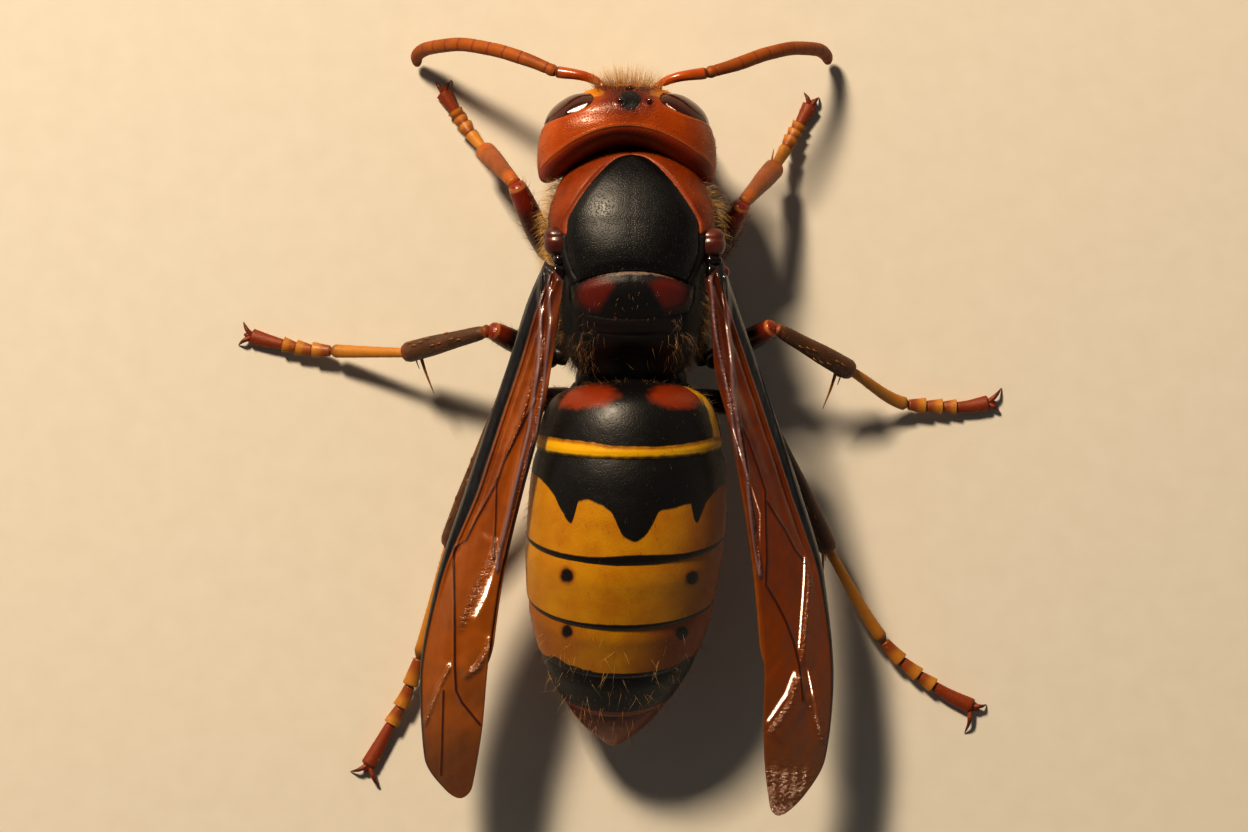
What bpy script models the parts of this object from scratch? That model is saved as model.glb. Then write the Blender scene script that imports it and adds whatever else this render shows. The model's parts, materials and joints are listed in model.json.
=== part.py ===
# European hornet queen at rest, life size: a still museum model that stands on its six feet.
# Sizes are millimetres of the insect, and MM turns them into metres.
# The body frame has its zero under the waist: x to the hornet's left, y towards the tail and z up
# from the floor. The empty at the end moves it so that the base of the model is centred on the origin.
import math

import bmesh
import bpy
from mathutils import Matrix, Vector

MM = 0.001
SEAM = 0.3  # gap between two pieces that meet

# Driving sizes
HEAD_HALF_WIDTH = 3.78
HEAD_MIDDLE_X = 0.13  # the head is turned a little off the line of the thorax
HEAD_MIDDLE_Z = 5.65
HEAD_HALF_HEIGHT = 3.0
HEAD_FRONT = -12.25  # the face on the midline
HEAD_BACK = -9.56  # the back of the head on the midline
FACE_CURVE = 0.11  # how fast the face falls back towards the sides, 1/mm
BACK_CURVE = 0.2
EYE_SIZE = (1.2, 0.6, 1.95)  # half sizes along the temple, outwards and up
EYE_SPOT = (2.52, -11.1, 5.95)
EYE_TURN = math.radians(29)
THORAX_SQUARENESS = 2.3
PLATE_FLOOR = 6.4  # the dark plates of the back go down to here
COLLAR_FLOOR = 5.0  # the collar goes down to here
COLLAR_BACK = -5.95
PLATE_BACKS = (-4.4, -2.45, -1.72)  # rear edges of scutum, scutellum and metanotum
WAIST_Y = -0.45
WING_THICKNESS = 0.5
WING_STEP = WING_THICKNESS + SEAM  # the hindwing lies this far under the forewing
VEIN_HEIGHT = 0.22
BASE_SHIFT = (-0.42, -2.02, 0.0)  # from under the waist to the middle of the base

# How the midline wanders as the hornet rests: (y, x)
MIDLINE = [(-9.6, -0.07), (-5.0, -0.1), (0.0, -0.03), (5.6, 0.12), (8.1, 0.3), (11.0, 0.44), (16.0, 0.74)]

# Thorax sections: (y, half width, underside z, top z)
THORAX = [
    (-9.6, 0.9, 5.0, 7.2),
    (-9.4, 1.6, 4.4, 7.85),
    (-8.85, 2.55, 3.7, 8.3),
    (-8.0, 3.12, 3.1, 8.75),
    (-6.6, 3.52, 2.6, 9.1),
    (-5.2, 3.42, 2.4, 9.25),
    (-3.8, 3.15, 2.4, 9.2),
    (-2.4, 2.95, 2.6, 8.7),
    (-1.4, 2.7, 3.0, 7.9),
    (-0.75, 2.15, 3.6, 6.9),
    (WAIST_Y, 0.95, 4.75, 6.2),
]

# Half width of the scutum in plan, from its blunt apex back: (y, half width)
SCUTUM = [
    (-9.36, 0.0), (-9.28, 0.45), (-9.0, 0.95), (-8.6, 1.4), (-8.14, 1.8), (-7.68, 2.15), (-7.24, 2.44),
    (-6.5, 2.8), (-5.6, 2.85), (-4.45, 2.55), (-4.1, 2.35), (-2.45, 1.95),
]

TEGULAE = {"left": (3.1, -5.74, 7.75), "right": (-3.48, -5.68, 7.6)}

# Gaster sections along its axis: (y, z, half width, reach up, reach down, lean in degrees)
GASTER = [
    (WAIST_Y + SEAM, 5.5, 0.5, 0.45, 0.45, 0),
    (0.05, 5.5, 0.8, 0.75, 0.75, 0),
    (0.4, 5.6, 2.5, 2.35, 2.0, 0),
    (0.95, 5.75, 3.35, 3.1, 2.8, 2),
    (1.9, 5.8, 3.75, 3.4, 3.2, 5),
    (2.85, 5.8, 3.95, 3.5, 3.35, 8),
    (4.6, 5.7, 4.15, 3.62, 3.5, 14),
    (6.6, 5.4, 4.22, 3.68, 3.55, 19),
    (8.0, 5.0, 4.12, 3.55, 3.35, 23),
    (9.15, 4.65, 4.0, 3.38, 3.12, 25),
    (10.3, 4.25, 3.75, 3.1, 2.85, 26),
    (11.35, 3.9, 3.42, 2.8, 2.5, 28),
    (12.4, 3.5, 2.95, 2.4, 2.15, 29),
    (13.4, 3.1, 2.35, 1.95, 1.75, 30),
    (14.6, 2.6, 1.4, 1.15, 1.05, 31),
    (15.65, 2.15, 0.25, 0.2, 0.2, 31),
]
# Where each segment ends, as places in the list above
SEGMENT_ENDS = [0, 5, 7, 9, 11, 13, 15]
RIM_STEP = 0.12  # each rear rim stands this far proud of the next segment

# The edge of each wing from its root to its tip: outer points, then inner points
WINGS = {
    "left": (
        [
            (3.55, -4.9, 7.5), (4.27, -3.26, 7.3), (5.11, -0.62, 6.8), (6.0, 1.9, 6.2), (6.96, 4.72, 5.6),
            (8.25, 8.8, 5.0), (8.9, 12.8, 4.7), (8.72, 16.0, 4.6), (7.5, 17.86, 4.6),
        ],
        [
            (2.75, -4.0, 8.3), (2.89, -3.0, 8.2), (3.25, -0.6, 8.0), (3.68, 1.9, 7.8), (4.45, 4.7, 7.3),
            (5.35, 8.6, 6.5), (5.93, 12.7, 5.8), (6.42, 16.0, 5.2), (6.75, 17.7, 4.75),
        ],
    ),
    "right": (
        [
            (-3.9, -4.85, 7.5), (-4.5, -3.0, 7.3), (-5.35, -0.6, 6.8), (-6.25, 2.0, 6.2), (-7.18, 4.72, 5.6),
            (-8.25, 8.6, 5.15), (-8.62, 12.6, 4.9), (-8.3, 16.0, 4.7), (-7.0, 18.25, 4.6),
        ],
        [
            (-3.1, -4.05, 8.3), (-3.33, -3.0, 8.2), (-3.5, -0.6, 8.0), (-4.1, 2.0, 7.8), (-4.65, 4.7, 7.3),
            (-5.22, 8.6, 6.5), (-5.55, 12.7, 5.8), (-5.68, 16.1, 5.2), (-6.0, 18.7, 4.75),
        ],
    ),
}

# Each leg: coxa root and tip, knee, ankle, the bends of the foot, the two claw tips and the spur
LEGS = {
    "fore_left": (
        (1.3, -7.6, 3.6), (3.4, -5.1, 2.55), (4.82, -8.2, 4.6), (6.25, -9.82, 1.5),
        [(6.81, -10.52, 0.85), (7.47, -11.45, 0.34), (8.08, -12.42, 0.22)],
        [(7.7, -12.95), (8.42, -12.85)], (6.45, -10.45, 1.1),
    ),
    "fore_right": (
        (-1.4, -7.6, 3.6), (-3.5, -5.0, 2.55), (-4.76, -7.38, 4.6), (-6.25, -9.1, 1.5),
        [(-6.74, -9.96, 0.85), (-7.28, -10.9, 0.34), (-7.84, -11.86, 0.22)],
        [(-7.55, -12.4), (-8.2, -12.2)], (-6.2, -9.9, 1.1),
    ),
    "mid_left": (
        (1.9, -3.4, 3.0), (3.15, -0.7, 2.4), (5.85, -2.04, 4.9), (9.62, -1.1, 2.4),
        [(13.6, -1.25, 0.65), (15.46, -1.6, 0.34), (16.42, -1.86, 0.22)],
        [(16.73, -2.47), (16.95, -1.47)], (8.39, 0.65, 1.3),
    ),
    "mid_right": (
        (-2.1, -3.4, 3.0), (-3.3, -0.65, 2.4), (-6.06, -2.17, 4.9), (-9.46, -0.32, 2.8),
        [(-12.19, 1.12, 0.65), (-14.36, 1.21, 0.34), (-15.57, 1.04, 0.22)],
        [(-16.1, 0.39), (-16.0, 1.38)], (-8.26, 1.3, 1.6),
    ),
    "hind_left": (
        (0.9, -1.2, 3.5), (2.3, 0.75, 2.3), (5.5, 1.13, 4.75), (7.75, 7.15, 2.4),
        [(9.54, 13.35, 0.7), (10.57, 15.38, 0.34), (11.35, 16.8, 0.22)],
        [(12.1, 17.0), (10.8, 17.75)], (7.5, 8.5, 1.6),
    ),
    "hind_right": (
        (-1.0, -1.2, 3.5), (-2.4, 0.8, 2.3), (-5.6, 1.26, 4.75), (-8.53, 7.38, 2.4),
        [(-11.28, 11.7, 0.75), (-13.54, 13.53, 0.34), (-14.88, 14.22, 0.22)],
        [(-15.45, 14.1), (-14.5, 15.35)], (-8.3, 8.75, 1.6),
    ),
}

# Each antenna: the scape from its socket to the pedicel, then the bends of the flagellum
ANTENNAE = {
    "left": (
        [(1.12, -12.35, 6.4), (2.0, -12.7, 6.6), (3.11, -12.88, 6.35)],
        [
            (4.34, -13.42, 5.9), (5.92, -13.95, 4.9), (7.45, -14.23, 3.6), (8.66, -14.18, 2.0),
            (9.2, -13.85, 0.8), (9.18, -13.52, 0.45),
        ],
    ),
    "right": (
        [(-1.1, -12.3, 6.4), (-2.1, -12.66, 6.6), (-3.24, -12.83, 6.35)],
        [
            (-4.43, -13.2, 5.9), (-5.85, -13.76, 4.8), (-7.13, -14.09, 3.4), (-8.05, -14.14, 1.9),
            (-8.5, -13.92, 0.8), (-8.58, -13.62, 0.45),
        ],
    ),
}

# Thickness along a limb: (part of its length, half width, half height)
COXA_SHAPE = [(0, 0.7, 0.7), (0.3, 0.78, 0.75), (0.62, 0.62, 0.58), (0.78, 0.42, 0.42), (1, 0.4, 0.38)]
FEMUR_SHAPE = [
    (0, 0.34, 0.34), (0.12, 0.46, 0.46), (0.4, 0.52, 0.52), (0.72, 0.47, 0.47), (0.92, 0.4, 0.4),
    (1, 0.32, 0.32),
]
TIBIA_SHAPE = [
    (0, 0.27, 0.27), (0.08, 0.33, 0.33), (0.35, 0.35, 0.34), (0.7, 0.44, 0.42), (0.92, 0.45, 0.42),
    (1, 0.34, 0.32),
]
SCAPE_SHAPE = [(0, 0.26, 0.26), (0.15, 0.27, 0.27), (0.6, 0.31, 0.31), (0.93, 0.36, 0.36), (1, 0.3, 0.3)]
# Tarsomeres: where each one ends, as a part of the foot's length
FORE_FOOT = [0.36, 0.5, 0.62, 0.73, 1.0]
LONG_FOOT = [0.5, 0.62, 0.72, 0.8, 1.0]
FLAGELLUM_JOINTS = 11

RED_BROWN = (0.36, 0.075, 0.015, 1.0)
BLACK_BROWN = (0.02, 0.013, 0.01, 1.0)
YELLOW = (0.66, 0.34, 0.02, 1.0)
ORANGE = (0.52, 0.17, 0.02, 1.0)
EYE_BROWN = (0.07, 0.018, 0.01, 1.0)
WING_AMBER = (0.3, 0.1, 0.025, 1.0)
LEG_BROWN = (0.12, 0.05, 0.022, 1.0)


def smooth(table, x):
    """The value at x of a smooth curve, with no overshoot, through the table's (x, value) pairs."""
    if x <= table[0][0]:
        return table[0][1]
    if x >= table[-1][0]:
        return table[-1][1]
    last = len(table) - 1
    slopes = [(table[k + 1][1] - table[k][1]) / (table[k + 1][0] - table[k][0]) for k in range(last)]
    i = next(k for k in range(last) if x <= table[k + 1][0])

    def tangent(k):
        if k in (0, last):
            return slopes[min(k, last - 1)]
        before, after = slopes[k - 1], slopes[k]
        return 0.0 if before * after <= 0 else 2 * before * after / (before + after)

    width = table[i + 1][0] - table[i][0]
    q = (x - table[i][0]) / width
    return (
        (1 + 2 * q) * (1 - q) ** 2 * table[i][1]
        + q * (1 - q) ** 2 * width * tangent(i)
        + q * q * (3 - 2 * q) * table[i + 1][1]
        + q * q * (q - 1) * width * tangent(i + 1)
    )


def along_list(rows, place):
    """Every number of a list of rows, read at a place between the first row, 0, and the last."""
    return [smooth([(k, row[n]) for k, row in enumerate(rows)], place) for n in range(len(rows[0]))]


def midline(y):
    return smooth(MIDLINE, y)


def squared(value, power):
    """A cosine or sine bent towards a squarer section."""
    return math.copysign(abs(value) ** (2 / power), value)


def make_material(name, colour, roughness):
    material = bpy.data.materials.new(name)
    material.use_nodes = True
    shader = material.node_tree.nodes["Principled BSDF"]
    shader.inputs["Base Color"].default_value = colour
    shader.inputs["Roughness"].default_value = roughness
    material.diffuse_color = colour
    return material


# Making, joining and cutting solids


def new_object(name, shape):
    bmesh.ops.recalc_face_normals(shape, faces=shape.faces)
    mesh = bpy.data.meshes.new(name)
    shape.to_mesh(mesh)
    shape.free()
    solid = bpy.data.objects.new(name, mesh)
    bpy.context.scene.collection.objects.link(solid)
    return solid


def ball(name, around, rings, place):
    """A UV sphere whose points go to place(direction), in millimetres."""
    shape = bmesh.new()
    bmesh.ops.create_uvsphere(shape, u_segments=around, v_segments=rings, radius=1.0)
    for point in shape.verts:
        point.co = Vector(place(point.co.normalized())) * MM
    bmesh.ops.triangulate(shape, faces=shape.faces)
    return new_object(name, shape)


def loft(name, around, rings, place):
    """A closed body through rings with flat ends: place(q, angle, reach) runs q from 0 to 1."""
    shape = bmesh.new()
    bmesh.ops.create_uvsphere(shape, u_segments=around, v_segments=rings + 1, radius=1.0)
    for point in shape.verts:
        ring = round(math.acos(max(-1.0, min(1.0, point.co.z))) / math.pi * (rings + 1))
        q = min(max((ring - 1) / (rings - 1), 0.0), 1.0)
        reach = 0.0 if ring in (0, rings + 1) else 1.0
        point.co = Vector(place(q, math.atan2(point.co.y, point.co.x), reach)) * MM
    bmesh.ops.triangulate(shape, faces=shape.faces)
    return new_object(name, shape)


def path_at(path, part):
    """The point at a part of the length of a smooth path, and the way it runs there."""
    lengths = [0.0]
    for a, b in zip(path, path[1:]):
        lengths.append(lengths[-1] + (Vector(b) - Vector(a)).length)

    def at(s):
        return Vector([smooth([(d, p[n]) for d, p in zip(lengths, path)], s) for n in range(3)])

    s = part * lengths[-1]
    step = 0.02 * lengths[-1]
    way = at(min(s + step, lengths[-1])) - at(max(s - step, 0.0))
    return at(s), way.normalized()


def limb(name, path, shape, around, lowest=0.0):
    """A tapered limb with flat ends along a path. No point of it lies under the lowest height."""

    def place(q, angle, reach):
        part, half_width, half_height = shape[round(q * (len(shape) - 1))]
        centre, way = path_at(path, part)
        side = way.cross(Vector((0, 0, 1))).normalized()
        rise = side.cross(way)
        point = centre + (side * half_width * math.cos(angle) + rise * half_height * math.sin(angle)) * reach
        point.z = max(point.z, lowest)
        return point

    return loft(name, around, len(shape), place)


def box(name, low, high):
    shape = bmesh.new()
    bmesh.ops.create_cube(shape, size=1.0)
    for point in shape.verts:
        point.co = Vector([a + (b - a) * (c + 0.5) for a, b, c in zip(low, high, point.co)]) * MM
    return new_object(name, shape)


def prism(name, outline, low, high):
    """An upright prism over a plan outline, from a filled curve."""
    curve = bpy.data.curves.new(name, "CURVE")
    curve.dimensions = "2D"
    curve.fill_mode = "BOTH"
    curve.extrude = (high - low) / 2 * MM
    spline = curve.splines.new("POLY")
    spline.points.add(len(outline) - 1)
    for point, (x, y) in zip(spline.points, outline):
        point.co = (x * MM, y * MM, 0.0, 1.0)
    spline.use_cyclic_u = True
    drawn = bpy.data.objects.new(name, curve)
    drawn.location.z = (high + low) / 2 * MM
    bpy.context.scene.collection.objects.link(drawn)
    bpy.context.view_layer.update()
    mesh = bpy.data.meshes.new_from_object(drawn.evaluated_get(bpy.context.evaluated_depsgraph_get()))
    mesh.transform(drawn.matrix_world)
    bpy.data.objects.remove(drawn)
    shape = bmesh.new()
    shape.from_mesh(mesh)
    bmesh.ops.remove_doubles(shape, verts=shape.verts, dist=0.0001 * MM)
    return new_object(name, shape)


def keep_largest(solid):
    """Keep only the largest closed surface of a solid."""
    shape = bmesh.new()
    shape.from_mesh(solid.data)
    left = set(shape.faces)
    groups = []
    while left:
        group = {left.pop()}
        edge_of_group = list(group)
        while edge_of_group:
            for edge in edge_of_group.pop().edges:
                for face in edge.link_faces:
                    if face in left:
                        left.remove(face)
                        group.add(face)
                        edge_of_group.append(face)
        groups.append(group)
    largest = max(groups, key=lambda faces: sum(face.calc_area() for face in faces))
    scraps = [face for group in groups if group is not largest for face in group]
    bmesh.ops.delete(shape, geom=scraps, context="FACES")
    shape.to_mesh(solid.data)
    shape.free()


def combine(solid, operation, others):
    """Join or cut a solid by a collection of closed solids, which are then removed."""
    group = bpy.data.collections.new("tools")
    bpy.context.scene.collection.children.link(group)
    for other in others:
        bpy.context.scene.collection.objects.unlink(other)
        group.objects.link(other)
    boolean = solid.modifiers.new(operation, "BOOLEAN")
    boolean.operation = operation
    boolean.operand_type = "COLLECTION"
    boolean.collection = group
    bpy.context.view_layer.update()
    made = bpy.data.meshes.new_from_object(solid.evaluated_get(bpy.context.evaluated_depsgraph_get()))
    solid.modifiers.clear()
    solid.data = made
    for other in others:
        bpy.data.objects.remove(other)
    bpy.data.collections.remove(group)
    keep_largest(solid)
    return solid


# Head


def head_place(direction, grow=0.0):
    """The skin of the head: a squarish ball bent back round the front of the thorax."""
    power = 2.5
    size = sum(abs(part) ** power for part in direction) ** (-1 / power)
    across, along, up = [part * size for part in direction]
    narrowing = 1 - 0.2 * max(0.0, -up) ** 1.5
    x = (HEAD_HALF_WIDTH + grow) * across * narrowing
    front = HEAD_FRONT - grow + FACE_CURVE * x * x
    back = HEAD_BACK + grow + BACK_CURVE * x * x
    y = (front + back) / 2 + (back - front) / 2 * along
    return (HEAD_MIDDLE_X + x, y, HEAD_MIDDLE_Z + (HEAD_HALF_HEIGHT + grow) * up)


def eye_place(side, direction, grow=0.0):
    """A kidney-shaped eye: its inner edge is notched half way down."""
    along, out, up = direction
    notch = 1 - 0.35 * math.exp(-((up / 0.35) ** 2)) * max(0.0, -along)
    local = Vector(
        (
            (EYE_SIZE[0] + grow) * along * notch,
            -(EYE_SIZE[1] + grow) * out,
            (EYE_SIZE[2] + grow) * up,
        )
    )
    local.rotate(Matrix.Rotation(EYE_TURN, 3, "Z"))
    x, y, z = local + Vector(EYE_SPOT)
    return (HEAD_MIDDLE_X + side * x, y, z)


def make_head():
    head = ball("head", 28, 16, head_place)
    clypeus = ball(
        "clypeus", 16, 10,
        lambda d: (HEAD_MIDDLE_X + 1.45 * d.x, HEAD_FRONT + 1.1 + 1.2 * d.y, 4.0 + 1.75 * d.z),
    )
    ocelli = [
        ball("ocellus", 8, 6, lambda d, at=at: tuple(c + 0.24 * n for c, n in zip(at, d)))
        for at in ((0.0, -12.1, 7.3), (0.56, -11.4, 8.45), (-0.8, -11.4, 8.45))
    ]
    sockets = []
    for side in ("left", "right"):
        start, way = path_at(ANTENNAE[side][0], 0.0)
        sockets.append(
            limb("socket", [start - way * 1.6, start - way * SEAM], [(0, 0.36, 0.36), (1, 0.36, 0.36)], 10)
        )
    combine(head, "UNION", [clypeus] + ocelli + sockets)
    grown_eyes = [ball("pit", 18, 12, lambda d, s=s: eye_place(s, d, SEAM)) for s in (1, -1)]
    jaw_pits = [
        limb("pit", mandible_path(s), [(p, w + SEAM, h + SEAM) for p, w, h in MANDIBLE_SHAPE], 10)
        for s in (1, -1)
    ]
    combine(head, "DIFFERENCE", grown_eyes + jaw_pits)
    return head


def make_eye(name, side):
    return ball("eye_" + name, 18, 12, lambda d: eye_place(side, d))


MANDIBLE_SHAPE = [
    (0, 0.55, 0.5), (0.25, 0.72, 0.55), (0.5, 0.62, 0.5), (0.75, 0.5, 0.4), (0.9, 0.36, 0.3), (1, 0.14, 0.12),
]


def mandible_path(side):
    points = [(2.1, -11.0, 3.5), (1.65, -11.4, 2.6), (0.95, -11.6, 1.75), (0.3, -11.65, 1.2)]
    return [(HEAD_MIDDLE_X + side * x, y, z) for x, y, z in points]


def make_mandible(name, side):
    return limb("mandible_" + name, mandible_path(side), MANDIBLE_SHAPE, 10)


def make_scape(name):
    return limb("antenna_scape_" + name, ANTENNAE[name][0], SCAPE_SHAPE, 10)


def make_flagellum(name):
    """The pedicel and eleven beads, each a little wider at its far end."""
    pedicel, way = path_at(ANTENNAE[name][0], 1.0)
    path = [tuple(pedicel + way * SEAM)] + ANTENNAE[name][1]
    shape = [(0, 0.22, 0.22)]
    for joint in range(FLAGELLUM_JOINTS):
        start = joint / FLAGELLUM_JOINTS
        shape.append((start + 0.012, 0.265, 0.265))
        shape.append((start + 0.08, 0.305, 0.305))
    shape.append((1, 0.2, 0.2))
    return limb("antenna_flagellum_" + name, path, shape, 8, lowest=0.12)


# Thorax


def thorax_place(q, angle, reach, grow=0.0):
    y, half_width, low, high = along_list(THORAX, q * (len(THORAX) - 1))
    middle = low + 0.6 * (high - low)
    across = squared(math.cos(angle), THORAX_SQUARENESS) * reach
    up = squared(math.sin(angle), THORAX_SQUARENESS) * reach
    centre = (THORAX[0][0] + THORAX[-1][0]) / 2
    half_length = (THORAX[-1][0] - THORAX[0][0]) / 2
    y = centre + (y - centre) * (1 + grow / half_length)
    height = (high - middle if up > 0 else middle - low) + grow
    return (midline(y) + (half_width + grow) * across, y, middle + height * up)


def whole_thorax(grow=0.0):
    return loft("thorax", 32, 22, lambda q, angle, reach: thorax_place(q, angle, reach, grow))


def plate_outline(front, back, grow):
    """The plan of the dark plates between two places along the body."""
    count = 9 if front < SCUTUM[-1][0] - 1 else 2
    rows = []
    for k in range(count):
        y = front + (back - front) * (k / (count - 1)) ** 1.6
        rows.append((y, smooth(SCUTUM, y) + grow))
    tip = []
    if count > 2:
        tip = [(midline(front), front - grow)]
        rows = rows[1:]
    left = [(midline(y) + width, y) for y, width in rows]
    right = [(midline(y) - width, y) for y, width in reversed(rows)]
    return tip + left + right


def make_thorax():
    """One body, parted by thin cuts into collar, plates, sides and rear."""
    top = 12.0
    far = 8.0
    scutum_back, scutellum_back, metanotum_back = PLATE_BACKS
    fronts = (SCUTUM[0][0] + 0.02, scutum_back + SEAM, scutellum_back + SEAM)
    parts = []
    for name, front, back in zip(("scutum", "scutellum", "metanotum"), fronts, PLATE_BACKS):
        plate = whole_thorax()
        plate.name = name
        combine(plate, "INTERSECT", [prism("cut", plate_outline(front, back, 0.0), PLATE_FLOOR, top)])
        if name == "scutum":
            combine(plate, "DIFFERENCE", [ball("cut", 28, 16, lambda d: head_place(d, SEAM))])
        parts.append(plate)

    def plate_room():
        outline = plate_outline(fronts[0], metanotum_back + SEAM, SEAM)
        return prism("cut", outline, PLATE_FLOOR - SEAM, top)

    collar = whole_thorax()
    collar.name = "pronotum"
    combine(collar, "INTERSECT", [box("cut", (-far, -12, COLLAR_FLOOR), (far, COLLAR_BACK, top))])
    combine(collar, "DIFFERENCE", [plate_room(), ball("cut", 28, 16, lambda d: head_place(d, SEAM))])
    parts.append(collar)

    rear = whole_thorax()
    rear.name = "propodeum"
    rear_front = metanotum_back + SEAM
    combine(rear, "INTERSECT", [box("cut", (-far, rear_front, 0), (far, 1, top))])
    parts.append(rear)

    sides = whole_thorax()
    sides.name = "thorax_sides"
    cuts = [
        plate_room(),
        box("cut", (-far, -12, COLLAR_FLOOR - SEAM), (far, COLLAR_BACK + SEAM, top)),
        box("cut", (-far, metanotum_back, 0), (far, 1, top)),
        ball("cut", 28, 16, lambda d: head_place(d, SEAM)),
    ]
    for cut in cuts:
        combine(sides, "DIFFERENCE", [cut])
    parts.append(sides)
    return parts


def make_tegula(name):
    """The glossy scale that covers the root of the forewing."""
    x, y, z = TEGULAE[name]
    tegula = ball("tegula_" + name, 14, 10, lambda d: (x + 0.56 * d.x, y + 0.64 * d.y, z + 0.6 * d.z))
    return combine(tegula, "DIFFERENCE", [whole_thorax(SEAM)])


# Gaster


def gaster_place(place, angle, reach, grow=0.0):
    """The skin of the gaster at a place along its list of sections."""
    y, z, half_width, up, down, lean = along_list(GASTER, place)
    lean = math.radians(lean)
    rise = ((up if math.sin(angle) > 0 else down) + grow) * math.sin(angle) * reach
    x = midline(y) + (half_width + grow) * math.cos(angle) * reach
    return (x, y + rise * math.sin(lean), z + rise * math.cos(lean))


def make_segment(number):
    start, end = SEGMENT_ENDS[number - 1], SEGMENT_ENDS[number]
    y_start, y_end = GASTER[start][0], GASTER[end][0]
    gap = 0.0 if number == 1 else SEAM / (y_end - y_start)
    rings = 10 if number == 1 else 6

    def place(q, angle, reach):
        part = gap + (1 - gap) * q
        inset = 0.0 if number == 1 else RIM_STEP * (1 - min(q * 3, 1.0))
        return gaster_place(start + (end - start) * part, angle, reach, -inset)

    return loft("gaster_segment_%d" % number, 28, rings, place)


# Wings

VEINS = (0, 1, 3, 5)  # the lengthwise lines that are raised as veins
CROSS_VEINS = (0.4, 0.52, 0.66)  # where veins run across, as parts of the wing's length


def wing_place(name, u, v, lift=0.0):
    """A point of the wing's sheet: u from root to tip, v from the outer edge to the inner one."""
    outer, inner = WINGS[name]
    a = Vector(along_list(outer, u * (len(outer) - 1)))
    b = Vector(along_list(inner, u * (len(inner) - 1)))
    camber = 0.25 * math.sin(math.pi * v) * min(1.0, 4 * u, 4 * (1 - u))
    point = a.lerp(b, v)
    return Vector((point.x, point.y, point.z + camber + lift))


def wing_rows():
    """Rows along the wing, with a close set of three at each cross vein."""
    rows = [k / 18 for k in range(19)]
    rows = [u for u in rows if all(abs(u - cross) > 0.02 for cross in CROSS_VEINS)]
    for cross in CROSS_VEINS:
        rows += [cross - 0.012, cross, cross + 0.012]
    return sorted(rows)


def make_wing(node, name, rows, v_range, lift, veins):
    """A thin sheet with raised veins. Both faces are split into the same triangles."""
    lines = [0.0, 0.1, 0.24, 0.44, 0.64, 0.84, 1.0]
    shape = bmesh.new()
    bmesh.ops.create_grid(shape, x_segments=len(rows) - 1, y_segments=len(lines) - 1, size=0.5)
    bmesh.ops.triangulate(shape, faces=shape.faces)
    under = set(shape.verts)
    bmesh.ops.extrude_face_region(shape, geom=shape.faces[:], use_keep_orig=True)
    for point in shape.verts:
        row = round((point.co.x + 0.5) * (len(rows) - 1))
        line = round((point.co.y + 0.5) * (len(lines) - 1))
        u = rows[row]
        low, high = v_range(u)
        height = 0.0
        if point not in under:
            height = WING_THICKNESS
            crossing = 1 <= line <= 3 and any(abs(u - cross) < 0.001 for cross in CROSS_VEINS)
            if veins and (line in VEINS or crossing):
                height += VEIN_HEIGHT * min(1.0, 6 * (1 - u))
        point.co = wing_place(name, u, low + (high - low) * lines[line], lift + height) * MM
    bmesh.ops.triangulate(shape, faces=shape.faces)
    return new_object(node, shape)


def make_forewing(name):
    def v_range(u):
        return 0.0, 1.0 - 0.16 * smooth([(0.3, 0.0), (0.5, 1.0), (0.7, 1.0), (0.82, 0.0)], u)

    wing = make_wing("forewing_" + name, name, wing_rows(), v_range, 0.0, True)
    return combine(wing, "DIFFERENCE", [whole_thorax(SEAM)])


def make_hindwing(name):
    def v_range(u):
        return 0.3 + 0.1 * u, smooth([(0.2, 0.9), (0.3, 0.94), (0.5, 1.0), (0.7, 1.0), (0.79, 0.72)], u)

    rows = [0.2 + 0.59 * k / 12 for k in range(13)]
    wing = make_wing("hindwing_" + name, name, rows, v_range, -WING_STEP, False)
    return combine(wing, "DIFFERENCE", [whole_thorax(SEAM)])


# Legs


def foot_shape(ends):
    """Five tarsomeres that widen to a lobed end and start again narrow."""
    shape = []
    start = 0.0
    for number, end in enumerate(ends):
        length = end - start
        wide = (0.3, 0.36, 0.36, 0.34, 0.3)[number]
        shape.append((start + (0.0 if number == 0 else 0.006), 0.2, 0.2))
        shape.append((start + 0.35 * length, 0.26, 0.25))
        shape.append((start + 0.9 * length, wide, wide * 0.85))
        shape.append((end - 0.004, wide * 0.92, wide * 0.7))
        start = end
    return shape


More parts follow.
